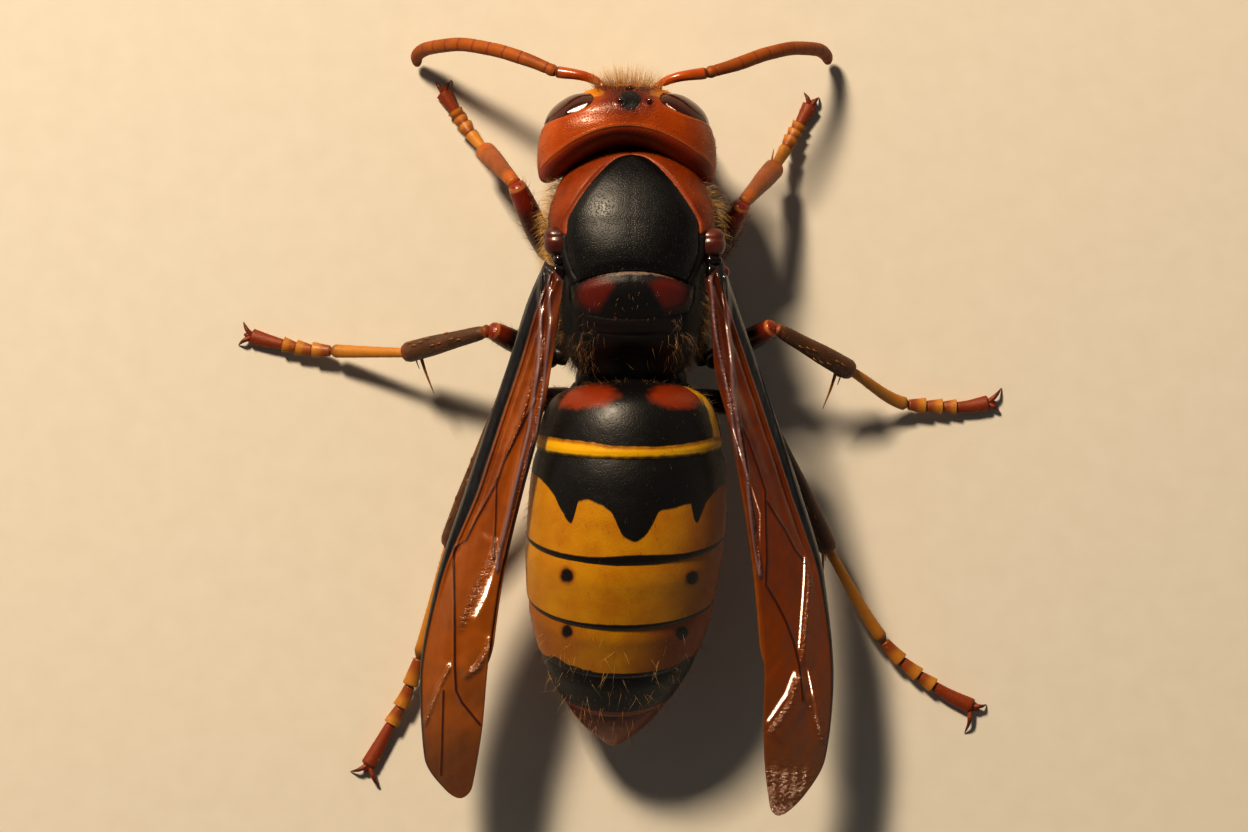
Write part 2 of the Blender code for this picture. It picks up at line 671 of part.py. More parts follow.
def make_leg(name):
    root, tip, knee, ankle, foot, claws, spur = LEGS[name]
    root, tip, knee, ankle = [Vector(point) for point in (root, tip, knee, ankle)]
    coxa = limb("leg_%s_coxa" % name, [root, tip], COXA_SHAPE, 12)
    combine(coxa, "DIFFERENCE", [whole_thorax(SEAM)])

    thigh = (knee - tip).normalized()
    femur_path = [tip + thigh * (SEAM + 0.3), tip.lerp(knee, 0.5) + Vector((0, 0, 0.12)), knee]
    femur = limb("leg_%s_femur" % name, femur_path, FEMUR_SHAPE, 12)

    shin = (ankle - knee).normalized()
    tibia_path = [knee + shin * (SEAM + 0.3), ankle]
    tibia = limb("leg_%s_tibia" % name, tibia_path, TIBIA_SHAPE, 10)
    spur_root = ankle - shin * 0.75
    spur_shape = [(0, 0.13, 0.13), (0.6, 0.09, 0.09), (1, 0.03, 0.03)]
    spurs = [limb("spur", [spur_root, Vector(spur)], spur_shape, 6)]
    combine(tibia, "UNION", spurs)

    foot_start = ankle + (Vector(foot[0]) - ankle).normalized() * SEAM
    foot_path = [foot_start] + [Vector(point) for point in foot]
    ends = FORE_FOOT if name.startswith("fore") else LONG_FOOT
    tarsus = limb("leg_%s_tarsus" % name, foot_path, foot_shape(ends), 7)
    claw_shape = [(0, 0.15, 0.13), (0.55, 0.12, 0.1), (1, 0.03, 0.03)]
    end = Vector(foot[-1])
    hooks = []
    for x, y in claws:
        back = end.lerp(Vector(foot[-2]), 0.25)
        middle = end.lerp(Vector((x, y, 0.45)), 0.55)
        hooks.append(limb("claw", [back, middle, Vector((x, y, 0.12))], claw_shape, 6, lowest=0.05))
    combine(tarsus, "UNION", hooks)
    return [coxa, femur, tibia, tarsus]


# The whole model


def finish_all(groups):
    """Colour each node, shade it smooth, put it in the model's collection and hang it from the empty."""
    collection = bpy.data.collections.new("european_hornet")
    bpy.context.scene.collection.children.link(collection)
    base = bpy.data.objects.new("model_base", None)
    base.location = [part * MM for part in BASE_SHIFT]
    collection.objects.link(base)
    for material, solids in groups:
        for solid in solids:
            bpy.context.scene.collection.objects.unlink(solid)
            collection.objects.link(solid)
            solid.parent = base
            solid.data.materials.clear()
            solid.data.materials.append(material)
            solid.data.shade_smooth()
            solid.data.set_sharp_from_angle(angle=math.radians(40))


def main():
    for thing in list(bpy.data.objects):
        bpy.data.objects.remove(thing)
    sides = (("left", 1), ("right", -1))
    plates = make_thorax()
    legs = {name: make_leg(name) for name in LEGS}
    finish_all(
        [
            (make_material("red_cuticle", RED_BROWN, 0.3), [make_head(), plates[3]]),
            (make_material("black_cuticle", BLACK_BROWN, 0.4), plates[:3] + plates[4:]),
            (make_material("eye", EYE_BROWN, 0.1), [make_eye(*side) for side in sides]),
            (make_material("mandible", YELLOW, 0.3), [make_mandible(*side) for side in sides]),
            (make_material("tegula", RED_BROWN, 0.2), [make_tegula(side[0]) for side in sides]),
            (make_material("scape", RED_BROWN, 0.3), [make_scape(side[0]) for side in sides]),
            (make_material("flagellum", ORANGE, 0.4), [make_flagellum(side[0]) for side in sides]),
            (make_material("gaster_front", BLACK_BROWN, 0.35), [make_segment(n) for n in (1, 2)]),
            (make_material("gaster_rear", YELLOW, 0.35), [make_segment(n) for n in (3, 4, 5, 6)]),
            (make_material("forewing", WING_AMBER, 0.2), [make_forewing(side[0]) for side in sides]),
            (make_material("hindwing", ORANGE, 0.2), [make_hindwing(side[0]) for side in sides]),
            (make_material("leg", LEG_BROWN, 0.4), [solid for leg in legs.values() for solid in leg[:3]]),
            (make_material("foot", ORANGE, 0.4), [leg[3] for leg in legs.values()]),
        ]
    )


main()
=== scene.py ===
import json
import math

import bmesh
import bpy
import numpy as np
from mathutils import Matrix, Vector

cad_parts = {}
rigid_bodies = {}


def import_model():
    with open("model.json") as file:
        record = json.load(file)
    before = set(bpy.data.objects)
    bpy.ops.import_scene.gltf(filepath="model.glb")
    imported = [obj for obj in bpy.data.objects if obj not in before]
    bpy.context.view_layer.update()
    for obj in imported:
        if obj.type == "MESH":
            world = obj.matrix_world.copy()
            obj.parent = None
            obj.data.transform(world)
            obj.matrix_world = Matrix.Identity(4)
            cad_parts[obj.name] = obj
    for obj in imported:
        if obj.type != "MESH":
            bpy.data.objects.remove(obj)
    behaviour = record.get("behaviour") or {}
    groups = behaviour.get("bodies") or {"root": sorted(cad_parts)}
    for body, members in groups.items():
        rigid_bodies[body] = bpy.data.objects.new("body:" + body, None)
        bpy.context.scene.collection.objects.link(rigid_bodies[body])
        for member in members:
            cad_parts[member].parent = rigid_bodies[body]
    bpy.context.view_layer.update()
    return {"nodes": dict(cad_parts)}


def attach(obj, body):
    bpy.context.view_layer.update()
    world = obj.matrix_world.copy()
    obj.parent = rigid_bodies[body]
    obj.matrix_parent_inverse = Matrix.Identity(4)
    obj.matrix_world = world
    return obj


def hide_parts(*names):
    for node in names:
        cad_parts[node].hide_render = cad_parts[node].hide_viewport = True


for thing in list(bpy.data.objects):
    bpy.data.objects.remove(thing)
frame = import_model()
print("hornet: frame loaded with", len(frame["nodes"]), "nodes")

# Sizes are millimetres in the insect's own frame: zero is under the waist, x to its left, y towards
# the tail and z up from the floor. baseShift moves it to the middle of the floor, as in the part's source.
baseShift = np.array([-0.42, -2.02, 0.0])
millimetre = 0.001
sides = (("left", 1), ("right", -1))


def toWorld(points):
    return (np.asarray(points, float) + baseShift) * millimetre


# A curve through (x, value) pairs that never overshoots them
def smooth(table, x):
    xs, ys = np.array(table, float).T[:2]
    slopes = np.diff(ys) / np.diff(xs)
    before, after = slopes[:-1], slopes[1:]
    same = before * after > 0
    middle = np.where(same, 2 * before * after / np.where(same, before + after, 1), 0)
    tangents = np.concatenate([slopes[:1], middle, slopes[-1:]])
    x = np.asarray(x, float)
    i = np.clip(np.searchsorted(xs, x) - 1, 0, len(xs) - 2)
    width = xs[i + 1] - xs[i]
    q = np.clip((x - xs[i]) / width, 0, 1)
    return (
        (1 + 2 * q) * (1 - q) ** 2 * ys[i] + q * (1 - q) ** 2 * width * tangents[i]
        + q * q * (3 - 2 * q) * ys[i + 1] + q * q * (q - 1) * width * tangents[i + 1]
    )


# Each column of a table of rows, at a place counted in rows
def alongRows(rows, place):
    rows = np.array(rows, float)
    steps = np.arange(len(rows))
    return [smooth(np.stack([steps, rows[:, n]], 1), place) for n in range(rows.shape[1])]


# 0 at low, 1 at high, with a soft start and end
def ramp(low, high, x):
    q = np.clip((x - low) / (high - low), 0, 1)
    return q * q * (3 - 2 * q)


def bump(x, width):
    return np.exp(-((x / width) ** 2))


def unit(vectors):
    return vectors / np.maximum(np.linalg.norm(vectors, axis=-1, keepdims=True), 1e-9)


def circle(count):
    return np.arange(count) / count * 2 * math.pi


# A few cheap octaves of smooth noise from sines, the same on every run
def ripple(points, size, seed):
    draw = np.random.default_rng(seed)
    total = np.zeros(points.shape[:-1])
    for octave in range(3):
        for _ in range(4):
            way = unit(draw.normal(size=3)) * 2 * math.pi / size * 1.9 ** octave
            total += np.sin(points @ way + draw.uniform(0, 6.28)) / (4 * 1.7 ** octave)
    return total


# Quads between the rows of a grid, whose columns close into rings
def gridFaces(rows, columns):
    r = np.arange(rows - 1)[:, None]
    c = np.arange(columns)[None]
    a = r * columns + c
    b = r * columns + (c + 1) % columns
    return np.stack([a, a + columns, b + columns, b], -1).reshape(-1, 4)


def gridNormals(points):
    around = np.roll(points, -1, axis=1) - np.roll(points, 1, axis=1)
    return unit(np.cross(np.gradient(points, axis=0), around))


# Puts a mesh in the scene. shape holds its points, its faces, the numbers kept on its points, and a UV map
# for hair. A piece stands for the CAD node that has its name, but an added one stands for none.
def makePiece(name, shape, material, added=False):
    points, faces, values, *uv = shape
    mesh = bpy.data.meshes.new(name)
    mesh.from_pydata(toWorld(points).tolist(), [], [list(face) for face in faces])
    for key, numbers in values.items():
        layer = mesh.attributes.new(key, "FLOAT", "POINT")
        layer.data.foreach_set("value", np.asarray(numbers, np.float32))
    if uv:
        layer = mesh.uv_layers.new(name="OFBake")
        corners = np.zeros(len(mesh.loops), np.int32)
        mesh.loops.foreach_get("vertex_index", corners)
        layer.uv.foreach_set("vector", np.asarray(uv[0], np.float32)[corners].ravel())
    mesh.materials.append(material)
    mesh.shade_smooth()
    piece = bpy.data.objects.new(name if added else name + "_skin", mesh)
    bpy.context.scene.collection.objects.link(piece)
    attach(piece, "root")
    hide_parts(*([] if added else [name]))


# Closes a grid of rings with a fan at each end, and keeps the extra numbers on its points
def closedGrid(points, extra=None):
    rows, columns = points.shape[:2]
    flat = np.concatenate([points.reshape(-1, 3), points[0].mean(0)[None], points[-1].mean(0)[None]])
    first, last = rows * columns, rows * columns + 1
    quads = gridFaces(rows, columns)
    c = np.arange(columns)
    n = (c + 1) % columns
    start = np.stack([0 * c + first, c, n], 1)
    end = np.stack([0 * c + last, (rows - 1) * columns + n, (rows - 1) * columns + c], 1)
    triangles = np.concatenate([quads[:, :3], quads[:, [0, 2, 3]], start, end])
    a, b, d = flat[triangles].transpose(1, 0, 2)
    turn = 1 if (a * np.cross(b, d)).sum() > 0 else -1  # the faces must look outward
    faces = [face for part in (quads, start, end) for face in part[:, ::turn].tolist()]
    values = {}
    for key, numbers in (extra or {}).items():
        v = np.broadcast_to(numbers, (rows, columns))
        values[key] = np.concatenate([v.ravel(), [v[0].mean(), v[-1].mean()]])
    return flat, faces, values


# Closes several grids, each with its extra numbers, and adds them together as one mesh
def joinGrids(parts):
    points, faces, values, start = [], [], {}, 0
    for grid, extra in parts:
        flat, more, kept = closedGrid(grid, extra)
        points.append(flat)
        faces += [[i + start for i in face] for face in more]
        for key, numbers in kept.items():
            values.setdefault(key, []).append(numbers)
        start += len(flat)
    return np.concatenate(points), faces, {key: np.concatenate(v) for key, v in values.items()}


# Places at shares of a path's length, the way the path runs there, and its length
def pathPoints(path, shares):
    path = np.array(path, float)
    lengths = np.concatenate([[0], np.cumsum(np.linalg.norm(np.diff(path, axis=0), axis=1))])

    def at(s):
        return np.stack([smooth(np.stack([lengths, path[:, n]], 1), s) for n in range(3)], -1)

    s = shares * lengths[-1]
    step = 0.02 * lengths[-1]
    way = unit(at(np.minimum(s + step, lengths[-1])) - at(np.maximum(s - step, 0)))
    return at(s), way, lengths[-1]


# A limb along a path: profile(t) gives half width and half height, relief(t, angle) adds to both
def tubeGrid(path, profile, rows, columns, relief=None, lowest=0.0):
    t = np.linspace(0, 1, rows) if np.isscalar(rows) else np.asarray(rows)
    angle = circle(columns)
    centre, way, length = pathPoints(path, t)
    side = unit(np.cross(way, [0, 0, 1]))
    rise = np.cross(side, way)
    halfWidth, halfHeight = profile(t)
    extra = relief(t[:, None], angle[None]) if relief else 0
    across = (halfWidth[:, None] + extra) * np.cos(angle)
    up = (halfHeight[:, None] + extra) * np.sin(angle)
    points = centre[:, None] + side[:, None] * across[..., None] + rise[:, None] * up[..., None]
    points[..., 2] = np.maximum(points[..., 2], lowest)
    t, angle = np.broadcast_arrays(t[:, None], angle[None])
    return {"points": points, "t": t, "angle": angle, "length": length}


# A limb's profile from a table of half widths
def tableProfile(table, flatness=1.0):
    return lambda t: (smooth(table, t), smooth(table, t) * flatness)


# Evenly spread rows with more of them near the places given
def denseRows(count, places, before, after, each):
    rows = [np.linspace(0, 1, count)] + [place + np.linspace(before, after, each) for place in places]
    rows = np.unique(np.concatenate(rows))
    return rows[(rows >= 0) & (rows <= 1)]


# Unit vectors on rings from the bottom of a ball to its top
def sphereWays(rows, columns):
    lat = np.linspace(0.01, math.pi - 0.01, rows)[:, None]
    lon = circle(columns)[None]
    return np.stack([np.sin(lat) * np.cos(lon), np.sin(lat) * np.sin(lon), -np.cos(lat) + 0 * lon], -1)


# Distance to a line in plan, the side it is on, and how far along it lies
def lineDistance(xy, line):
    line = np.array(line, float)
    shape = xy.shape[:-1]
    best, sign, part = np.full(shape, 1e9), np.ones(shape), np.zeros(shape)
    total = len(line) - 1
    for n in range(total):
        run = line[n + 1] - line[n]
        t = np.clip(((xy - line[n]) @ run) / (run @ run), 0, 1)
        gap = xy - line[n] - t[..., None] * run
        far = np.linalg.norm(gap, axis=-1)
        closer = far < best
        best = np.where(closer, far, best)
        turn = run[0] * gap[..., 1] - run[1] * gap[..., 0]
        sign = np.where(closer, np.sign(turn), sign)
        part = np.where(closer, (n + t) / total, part)
    return best, sign, part


def linearColour(code):
    channels = [int(code[i:i + 2], 16) / 255 for i in (1, 3, 5)]
    return tuple(c / 12.92 if c <= 0.04045 else ((c + 0.055) / 1.055) ** 2.4 for c in channels) + (1.0,)


# Adds a node. A setting is a property, an input's value or colour code, or the output that feeds the input.
def addNode(tree, kind, settings=None):
    node = tree.nodes.new("ShaderNode" + kind)
    for key, value in (settings or {}).items():
        if key == "stops":
            for n, (place, colour) in enumerate(value):
                element = node.color_ramp.elements[n] if n < 2 else node.color_ramp.elements.new(place)
                element.position = place
                element.color = linearColour(colour)
        elif isinstance(value, bpy.types.NodeSocket):
            tree.links.new(value, node.inputs[key])
        elif isinstance(key, str) and hasattr(node, key):
            setattr(node, key, value)
        else:
            node.inputs[key].default_value = linearColour(value) if isinstance(value, str) else value
    return node


# Numbers that a piece keeps on its points
def readField(tree, name):
    return addNode(tree, "Attribute", {"attribute_name": name}).outputs["Fac"]


def addNoise(tree, place, size, detail):
    settings = {"Scale": 1 / size, "Detail": detail, "Vector": place}
    return addNode(tree, "TexNoise", settings).outputs["Fac"]


def addMath(tree, operation, *terms):
    return addNode(tree, "Math", {"operation": operation, **dict(enumerate(terms))}).outputs[0]


def addRange(tree, value, low, high, toLow=0.0, toHigh=1.0):
    return addNode(tree, "MapRange", {0: value, 1: low, 2: high, 3: toLow, 4: toHigh}).outputs[0]


def mixColour(tree, share, first, second):
    return addNode(tree, "Mix", {"data_type": "RGBA", 0: share, 6: first, 7: second}).outputs[2]


# Paints over a colour where a field is above zero, with an edge as soft as the width given
def paintOver(tree, colour, field, code, softness):
    inside = addNode(tree, "MapRange", {
        "interpolation_type": "SMOOTHSTEP", 0: field, 1: -softness, 2: softness}).outputs[0]
    return mixColour(tree, inside, colour, code)


def newMaterial(name, look):
    material = bpy.data.materials.new(name)
    material.use_nodes = True
    tree = material.node_tree
    shader = tree.nodes["Principled BSDF"]
    for key, value in look.items():
        shader.inputs[key].default_value = value
    return material, tree, shader


keyLean = (0.19, -0.33, 0.92)  # the way a surface faces when it flashes in the key light


# A surface that leans up towards the head by the share given, so that it flashes in light from there
def leaning(tree, share):
    plain = addNode(tree, "NewGeometry").outputs["Normal"]
    facing = addNode(tree, "CombineXYZ", dict(enumerate(keyLean))).outputs[0]
    lean = addNode(tree, "Mix", {"data_type": "VECTOR", 0: share, 4: plain, 5: facing}).outputs[1]
    return addNode(tree, "VectorMath", {"operation": "NORMALIZE", 0: lean}).outputs[0]


# What a cuticle has when its own look doesn't say: pit and cloud are sizes in millimetres
plainCuticle = {
    "coat": 0.0, "coatGloss": 0.12, "shine": 0.5, "rough": 0.5, "wave": 0.2, "pit": 0.09, "cloud": 1.1,
    "marks": [], "flash": False,
}


# Insect cuticle: chitin, a hard clear brown plastic of nature with IOR about 1.56, grown in smooth
# plates. To the eye it is a colour under a thin glossy skin that fine pits break up.
# marks are (attribute, colour, softness, raggedness), painted in turn where the attribute is over 0 mm.
def cuticle(name, ownLook):
    look = dict(plainCuticle, **ownLook)
    material, tree, shader = newMaterial(name, {
        "IOR": 1.56, "Roughness": look["gloss"], "Coat Weight": look["coat"],
        "Coat Roughness": look["coatGloss"], "Specular IOR Level": look["shine"]})
    place = addNode(tree, "TexCoord").outputs["Object"]
    cloud = addNoise(tree, place, look["cloud"] * millimetre, 4.0)
    rag = addNoise(tree, place, 0.35 * millimetre, 3.0)
    waves = addNoise(tree, place, 0.4 * millimetre, 5.0)
    colour = mixColour(tree, addRange(tree, cloud, 0.35, 0.68), look["colour"], look["deep"])
    for attribute, code, softness, raggedness in look["marks"]:
        shift = addMath(tree, "MULTIPLY_ADD", rag, raggedness, -raggedness / 2)
        field = addMath(tree, "ADD", readField(tree, attribute), shift)
        colour = paintOver(tree, colour, field, code, softness)
    tree.links.new(colour, shader.inputs["Base Color"])
    # pits are 0.03 to 0.06 mm apart on the insect, and drawn wider here so that they show
    pits = addNode(tree, "TexVoronoi", {
        "Scale": 1 / (look["pit"] * millimetre), "Randomness": 1.0, "Vector": place}).outputs["Distance"]
    relief = addMath(tree, "MULTIPLY_ADD", waves, look["wave"], addRange(tree, pits, 0.0, 0.45))
    bumps = addNode(tree, "Bump", {
        "Strength": look["rough"], "Distance": 0.02 * millimetre, "Height": relief})
    tree.links.new(bumps.outputs["Normal"], shader.inputs["Normal"])
    if look["flash"]:
        tree.links.new(leaning(tree, readField(tree, "flash")), bumps.inputs["Normal"])
        tree.links.new(bumps.outputs["Normal"], shader.inputs["Coat Normal"])
    worn = addRange(tree, waves, 0.0, 1.0, look["gloss"] - 0.05, look["gloss"] + 0.1)
    tree.links.new(worn, shader.inputs["Roughness"])
    return material


headSizes = {
    "halfWidth": 3.78, "middleX": 0.13, "middleZ": 5.65, "halfHeight": 3.0,
    "front": -12.25, "back": -9.56, "faceCurve": 0.05, "backCurve": 0.19, "square": 2.7,
    "core": (0.0, -10.9, 5.65),  # relief and the eyes swell away from here
    # the eyes are measured round an axis inside the head that runs outwards at eyeTurn
    "eyeAxis": (2.09, -10.2, 5.9), "eyeTurn": math.radians(24.5), "eyeRound": 1.9, "eyeBulge": 0.22,
    # an eye's outline: (degrees round its middle, reach in mm), 0 outwards, 90 up, with a deep bay at 165
    "eyeEdge": [(-10, 1.17), (16, 1.18), (45, 1.54), (66, 1.99), (82, 2.21), (97, 2.35), (109, 2.5),
                (115, 2.55), (120, 2.45), (125, 2.1), (131, 1.45), (140, 0.9), (155, 0.7), (180, 0.72),
                (203, 0.95), (217, 1.45), (235, 1.92), (257, 2.15), (273, 2.1), (294, 1.75), (319, 1.38),
                (350, 1.17)],
    "ocelli": [(0.0, -12.12, 7.45), (0.4, -11.54, 8.4), (-0.82, -11.52, 8.4)], "ocellusRadius": 0.15,
}
headCuticle = cuticle("orangeHeadCuticle", {
    "colour": "#ae5200", "deep": "#9c4200", "gloss": 0.36, "shine": 0.34, "coat": 0.06, "rough": 0.5,
    "pit": 0.1, "flash": True,
    # the ridge mark is a thin pale line along the ridge at the back of the head, a painted highlight
    "marks": [("yellowFace", "#d89010", 0.06, 0.05), ("darkBack", "#8e2c03", 0.15, 0.1),
              ("darkVertex", "#571404", 0.35, 0.25), ("darkSpot", "#0c0605", 0.07, 0.3),
              ("ridge", "#d08048", 0.02, 0.01)],
})
# An insect's eye is a clear, hard chitin lens over dark pigment, so it looks like wet dark glass.
eyeCuticle = cuticle("darkEyeFacets", {
    "colour": "#4a1a08", "deep": "#381205", "gloss": 0.13, "shine": 0.3, "coat": 0.2, "coatGloss": 0.1,
    "rough": 0.04, "pit": 0.05, "wave": 0.0, "flash": True, "marks": [("rim", "#4a1a08", 0.05, 0.02)],
})
ocellusGlass = cuticle("amberOcellus", {
    "colour": "#5a1c0a", "deep": "#2c0c06", "gloss": 0.08, "coat": 1.0, "coatGloss": 0.05, "rough": 0.02,
})
jawCuticle = cuticle("yellowJawCuticle", {
    "colour": "#d08a1e", "deep": "#b4600f", "gloss": 0.25, "coat": 0.4, "rough": 0.3,
    "marks": [("tip", "#1c0a06", 0.25, 0.2)],
})


# How far forward and back the head reaches at a distance from its middle
def headEnds(x):
    s = headSizes
    return s["front"] + s["faceCurve"] * x * x, s["back"] + s["backCurve"] * x * x


def headPlace(ways):
    s = headSizes
    size = (np.abs(ways) ** s["square"]).sum(-1) ** (-1 / s["square"])
    across, along, up = np.moveaxis(ways * size[..., None], -1, 0)
    x = s["halfWidth"] * across * (1 - 0.2 * np.maximum(0, -up) ** 1.5)
    front, back = headEnds(x)
    y = (front + back) / 2 + (back - front) / 2 * along
    return np.stack([x, y, s["middleZ"] + s["halfHeight"] * up], -1)


# Over 1 outside the head's plain shape, under 1 inside it
def headLevel(points):
    s = headSizes
    x, y, z = np.moveaxis(points, -1, 0)
    up = (z - s["middleZ"]) / s["halfHeight"]
    across = x / (s["halfWidth"] * (1 - 0.2 * np.clip(-up, 0, 1) ** 1.5))
    front, back = headEnds(x)
    along = (y - (front + back) / 2) / ((back - front) / 2)
    return (np.abs(np.stack([across, along, up])) ** s["square"]).sum(0)


# How far behind the ridge along the back of the head a point lies
def pastRidge(x, y):
    return y - (-10.5 + 0.125 * x * x)


# Places round an eye's axis: how far along it, and the way round it in millimetres, 0 forwards and out
def eyePlace(points, side):
    turn = headSizes["eyeTurn"]
    x, y, z = np.moveaxis(points * [side, 1, 1] - headSizes["eyeAxis"], -1, 0)
    along = x * math.cos(turn) + y * math.sin(turn)
    out = x * math.sin(turn) - y * math.cos(turn)
    return along, np.arctan2(z, out) * headSizes["eyeRound"]


def eyeReach(angle):
    return smooth(headSizes["eyeEdge"], (np.degrees(angle) + 10) % 360 - 10)


# How far outside an eye a point of the head lies, in millimetres
def eyeDistance(points):
    turn = np.linspace(0, 2 * math.pi, 180, endpoint=False)
    edge = np.stack([np.cos(turn), np.sin(turn)], -1) * eyeReach(turn)[:, None]
    nearest = np.full(len(points), 9.0)
    for _, side in sides:
        flat = np.stack(eyePlace(points, side), -1)
        near = np.flatnonzero((np.hypot(*flat.T) < 3.4) & (points[:, 0] * side > 0))
        gap = np.hypot(*(flat[near, None] - edge[None]).transpose(2, 0, 1)).min(1)
        inside = np.hypot(*flat[near].T) < eyeReach(np.arctan2(flat[near, 1], flat[near, 0]))
        nearest[near] = np.where(inside, -gap, gap)
    return nearest


def makeHead():
    ball = bmesh.new()
    bmesh.ops.create_icosphere(ball, subdivisions=7, radius=1.0)
    ways = unit(np.array([v.co for v in ball.verts]))
    faces = [[v.index for v in f.verts] for f in ball.faces]
    ball.free()
    base = headPlace(ways)
    outward = unit(base - headSizes["core"])
    x, y, z = base.T
    middleX = headSizes["middleX"]
    top = ramp(6.4, 7.6, z)
    face = ramp(-11.4, -11.9, y - 0.11 * x * x)
    past = pastRidge(x, y)
    # the ridge and the step behind it, and the seam down the face
    offset = 0.03 * bump(past + 0.03, 0.08) * top
    offset -= 0.03 * ramp(-0.02, 0.06, past) * top + 0.16 * ramp(0.05, 0.9, past) * top
    offset -= 0.06 * bump(x, 0.09) * face * ramp(6.0, 6.5, z) * ramp(8.3, 7.4, z)
    # sockets of the antennae, the plate of the clypeus, and the frons between the sockets
    for _, side in sides:
        socket = np.hypot(x - side * 1.08, z - 6.4)
        offset += (0.1 * bump(socket - 0.55, 0.14) - 0.22 * bump(socket, 0.35)) * ramp(-10.9, -11.4, y)
    plate = 1 - ((np.abs(x) / 1.85) ** 3 + (np.abs(z - 4.1) / 1.45) ** 3) ** (1 / 3)
    offset += (0.26 * ramp(0, 0.35, plate) - 0.1 * bump(plate, 0.045)) * ramp(-10.9, -11.5, y)
    frons = 1 - np.sqrt((x / 0.75) ** 2 + ((z - 6.2) / 0.9) ** 2)
    offset += 0.16 * ramp(0, 0.6, frons) * ramp(-10.9, -11.5, y)
    # a rim round each eye and each ocellus
    eye = eyeDistance(base)
    offset += 0.02 * bump(eye - 0.1, 0.07) - 0.16 * ramp(0.02, -0.08, eye)
    for spotX, spotY, _ in headSizes["ocelli"]:
        far = np.hypot(x - (spotX - middleX), y - spotY)
        offset += (0.03 * bump(far - 0.2, 0.06) - 0.04 * bump(far, 0.14)) * top
    offset += 0.008 * ripple(base, 1.6, 3)
    points = base + outward * offset[:, None] + [middleX, 0, 0]
    # yellow on the clypeus, on the frons between the antennae and along the inner edge of each eye
    innerEdge = np.minimum.reduce([
        0.55 - eye, (-11.72 - y) * 1.5, 8.1 - z, 2.4 - np.abs(x), np.abs(x) - 0.95])
    yellow = np.maximum.reduce([plate * 1.2 * ramp(-10.8, -11.3, y) - ramp(-11.3, -10.8, y),
                                np.where(y < -11.4, frons * 0.8 - 0.05, -1), innerEdge])
    spot = 0.45 - np.hypot(x + middleX, (y + 11.55) * 1.1)
    sideSpots = 0.2 - np.hypot(x + 0.95, y + 11.52)
    vertex = 0.95 - np.hypot((x + 0.1) / 1.1, (y + 11.8) / 0.8) * 0.9
    shine = bump(np.hypot((x - 1.6) / 0.8, (y + 10.72 - 0.1 * (x - 1.6)) / 0.22), 1.0)
    values = {
        "yellowFace": yellow,
        "darkBack": past - 0.12 + (1 - top) * 0.4 * ramp(-10.2, -9.6, y),
        "darkSpot": np.where(z > 7.4, np.maximum(spot, sideSpots - 0.08), -1),
        "darkVertex": np.where(z > 6.8, vertex * 0.5, -1),
        # ridge: the thin line along the ridge, painted pale as a painted highlight
        "ridge": np.where(z > 6.8, 0.025 - np.abs(past), -1),
        "flash": 0.8 * shine * (z > 7),
    }
    makePiece("head", (points, faces, values), headCuticle)
    return points, outward


headSkin, headNormals = makeHead()

ocellusBall = sphereWays(24, 32) * headSizes["ocellusRadius"]
shape = joinGrids([(np.array(spot) + ocellusBall, None) for spot in headSizes["ocelli"]])
makePiece("ocelli", shape, ocellusGlass, added=True)

# highlights along the upper inner edge of each eye: half width and points
eyeStreaks = {
    "left": (0.24, [(2.62, -11.08), (2.2, -11.22), (1.78, -11.42)]),
    "right": (0.15, [(-1.48, -11.46), (-1.6, -11.32), (-1.95, -11.12)]),
}


# An eye is the head's own surface inside the eye's outline, swollen a little, with a back inside the head
def makeEye(name, side):
    t = np.concatenate([np.linspace(0.01, 0.9, 60), np.linspace(0.915, 1.02, 14)])[:, None]
    angle = circle(180)[None]
    along = t * eyeReach(angle) * np.cos(angle)
    around = t * eyeReach(angle) * np.sin(angle) / headSizes["eyeRound"]
    turn = headSizes["eyeTurn"]
    axis = np.array([math.cos(turn), math.sin(turn), 0])
    forward = np.array([math.sin(turn), -math.cos(turn), 0])
    ray = np.cos(around)[..., None] * forward + np.sin(around)[..., None] * [0, 0, 1]
    start = np.array(headSizes["eyeAxis"]) + along[..., None] * axis
    # each ray from the axis is halved down to the place where it leaves the head
    low, high = np.zeros(along.shape), np.full(along.shape, 5.0)
    for _ in range(40):
        middle = (low + high) / 2
        inside = headLevel(start + middle[..., None] * ray) < 1
        low, high = np.where(inside, middle, low), np.where(inside, high, middle)
    base = start + low[..., None] * ray
    outward = unit(base - headSizes["core"])
    swell = headSizes["eyeBulge"] * (1 - t ** 3) - 0.05
    grid = np.concatenate([base + outward * swell[..., None], base[-1:] - 0.35 * outward[-1:]])
    depth = np.concatenate([t, [[1.05]]])
    points = grid * [side, 1, 1] + [headSizes["middleX"], 0, 0]
    half, line = eyeStreaks[name]
    far, _, part = lineDistance(points[..., :2], line)
    wide = half * (0.35 + 0.65 * np.sin(math.pi * part) ** 0.7)
    flash = 0.95 * ramp(1.15, 0.1, far / wide) * ramp(6.8, 7.2, points[..., 2])
    makePiece("eye_" + name, closedGrid(points, {"rim": depth - 0.93, "flash": flash}), eyeCuticle)


mandiblePath = [(2.1, -11.0, 3.5), (1.65, -11.4, 2.6), (0.95, -11.6, 1.75), (0.3, -11.65, 1.2)]
mandibleWidth = [(0, 0.45), (0.06, 0.56), (0.25, 0.72), (0.5, 0.62), (0.75, 0.5), (0.9, 0.36), (1, 0.06)]


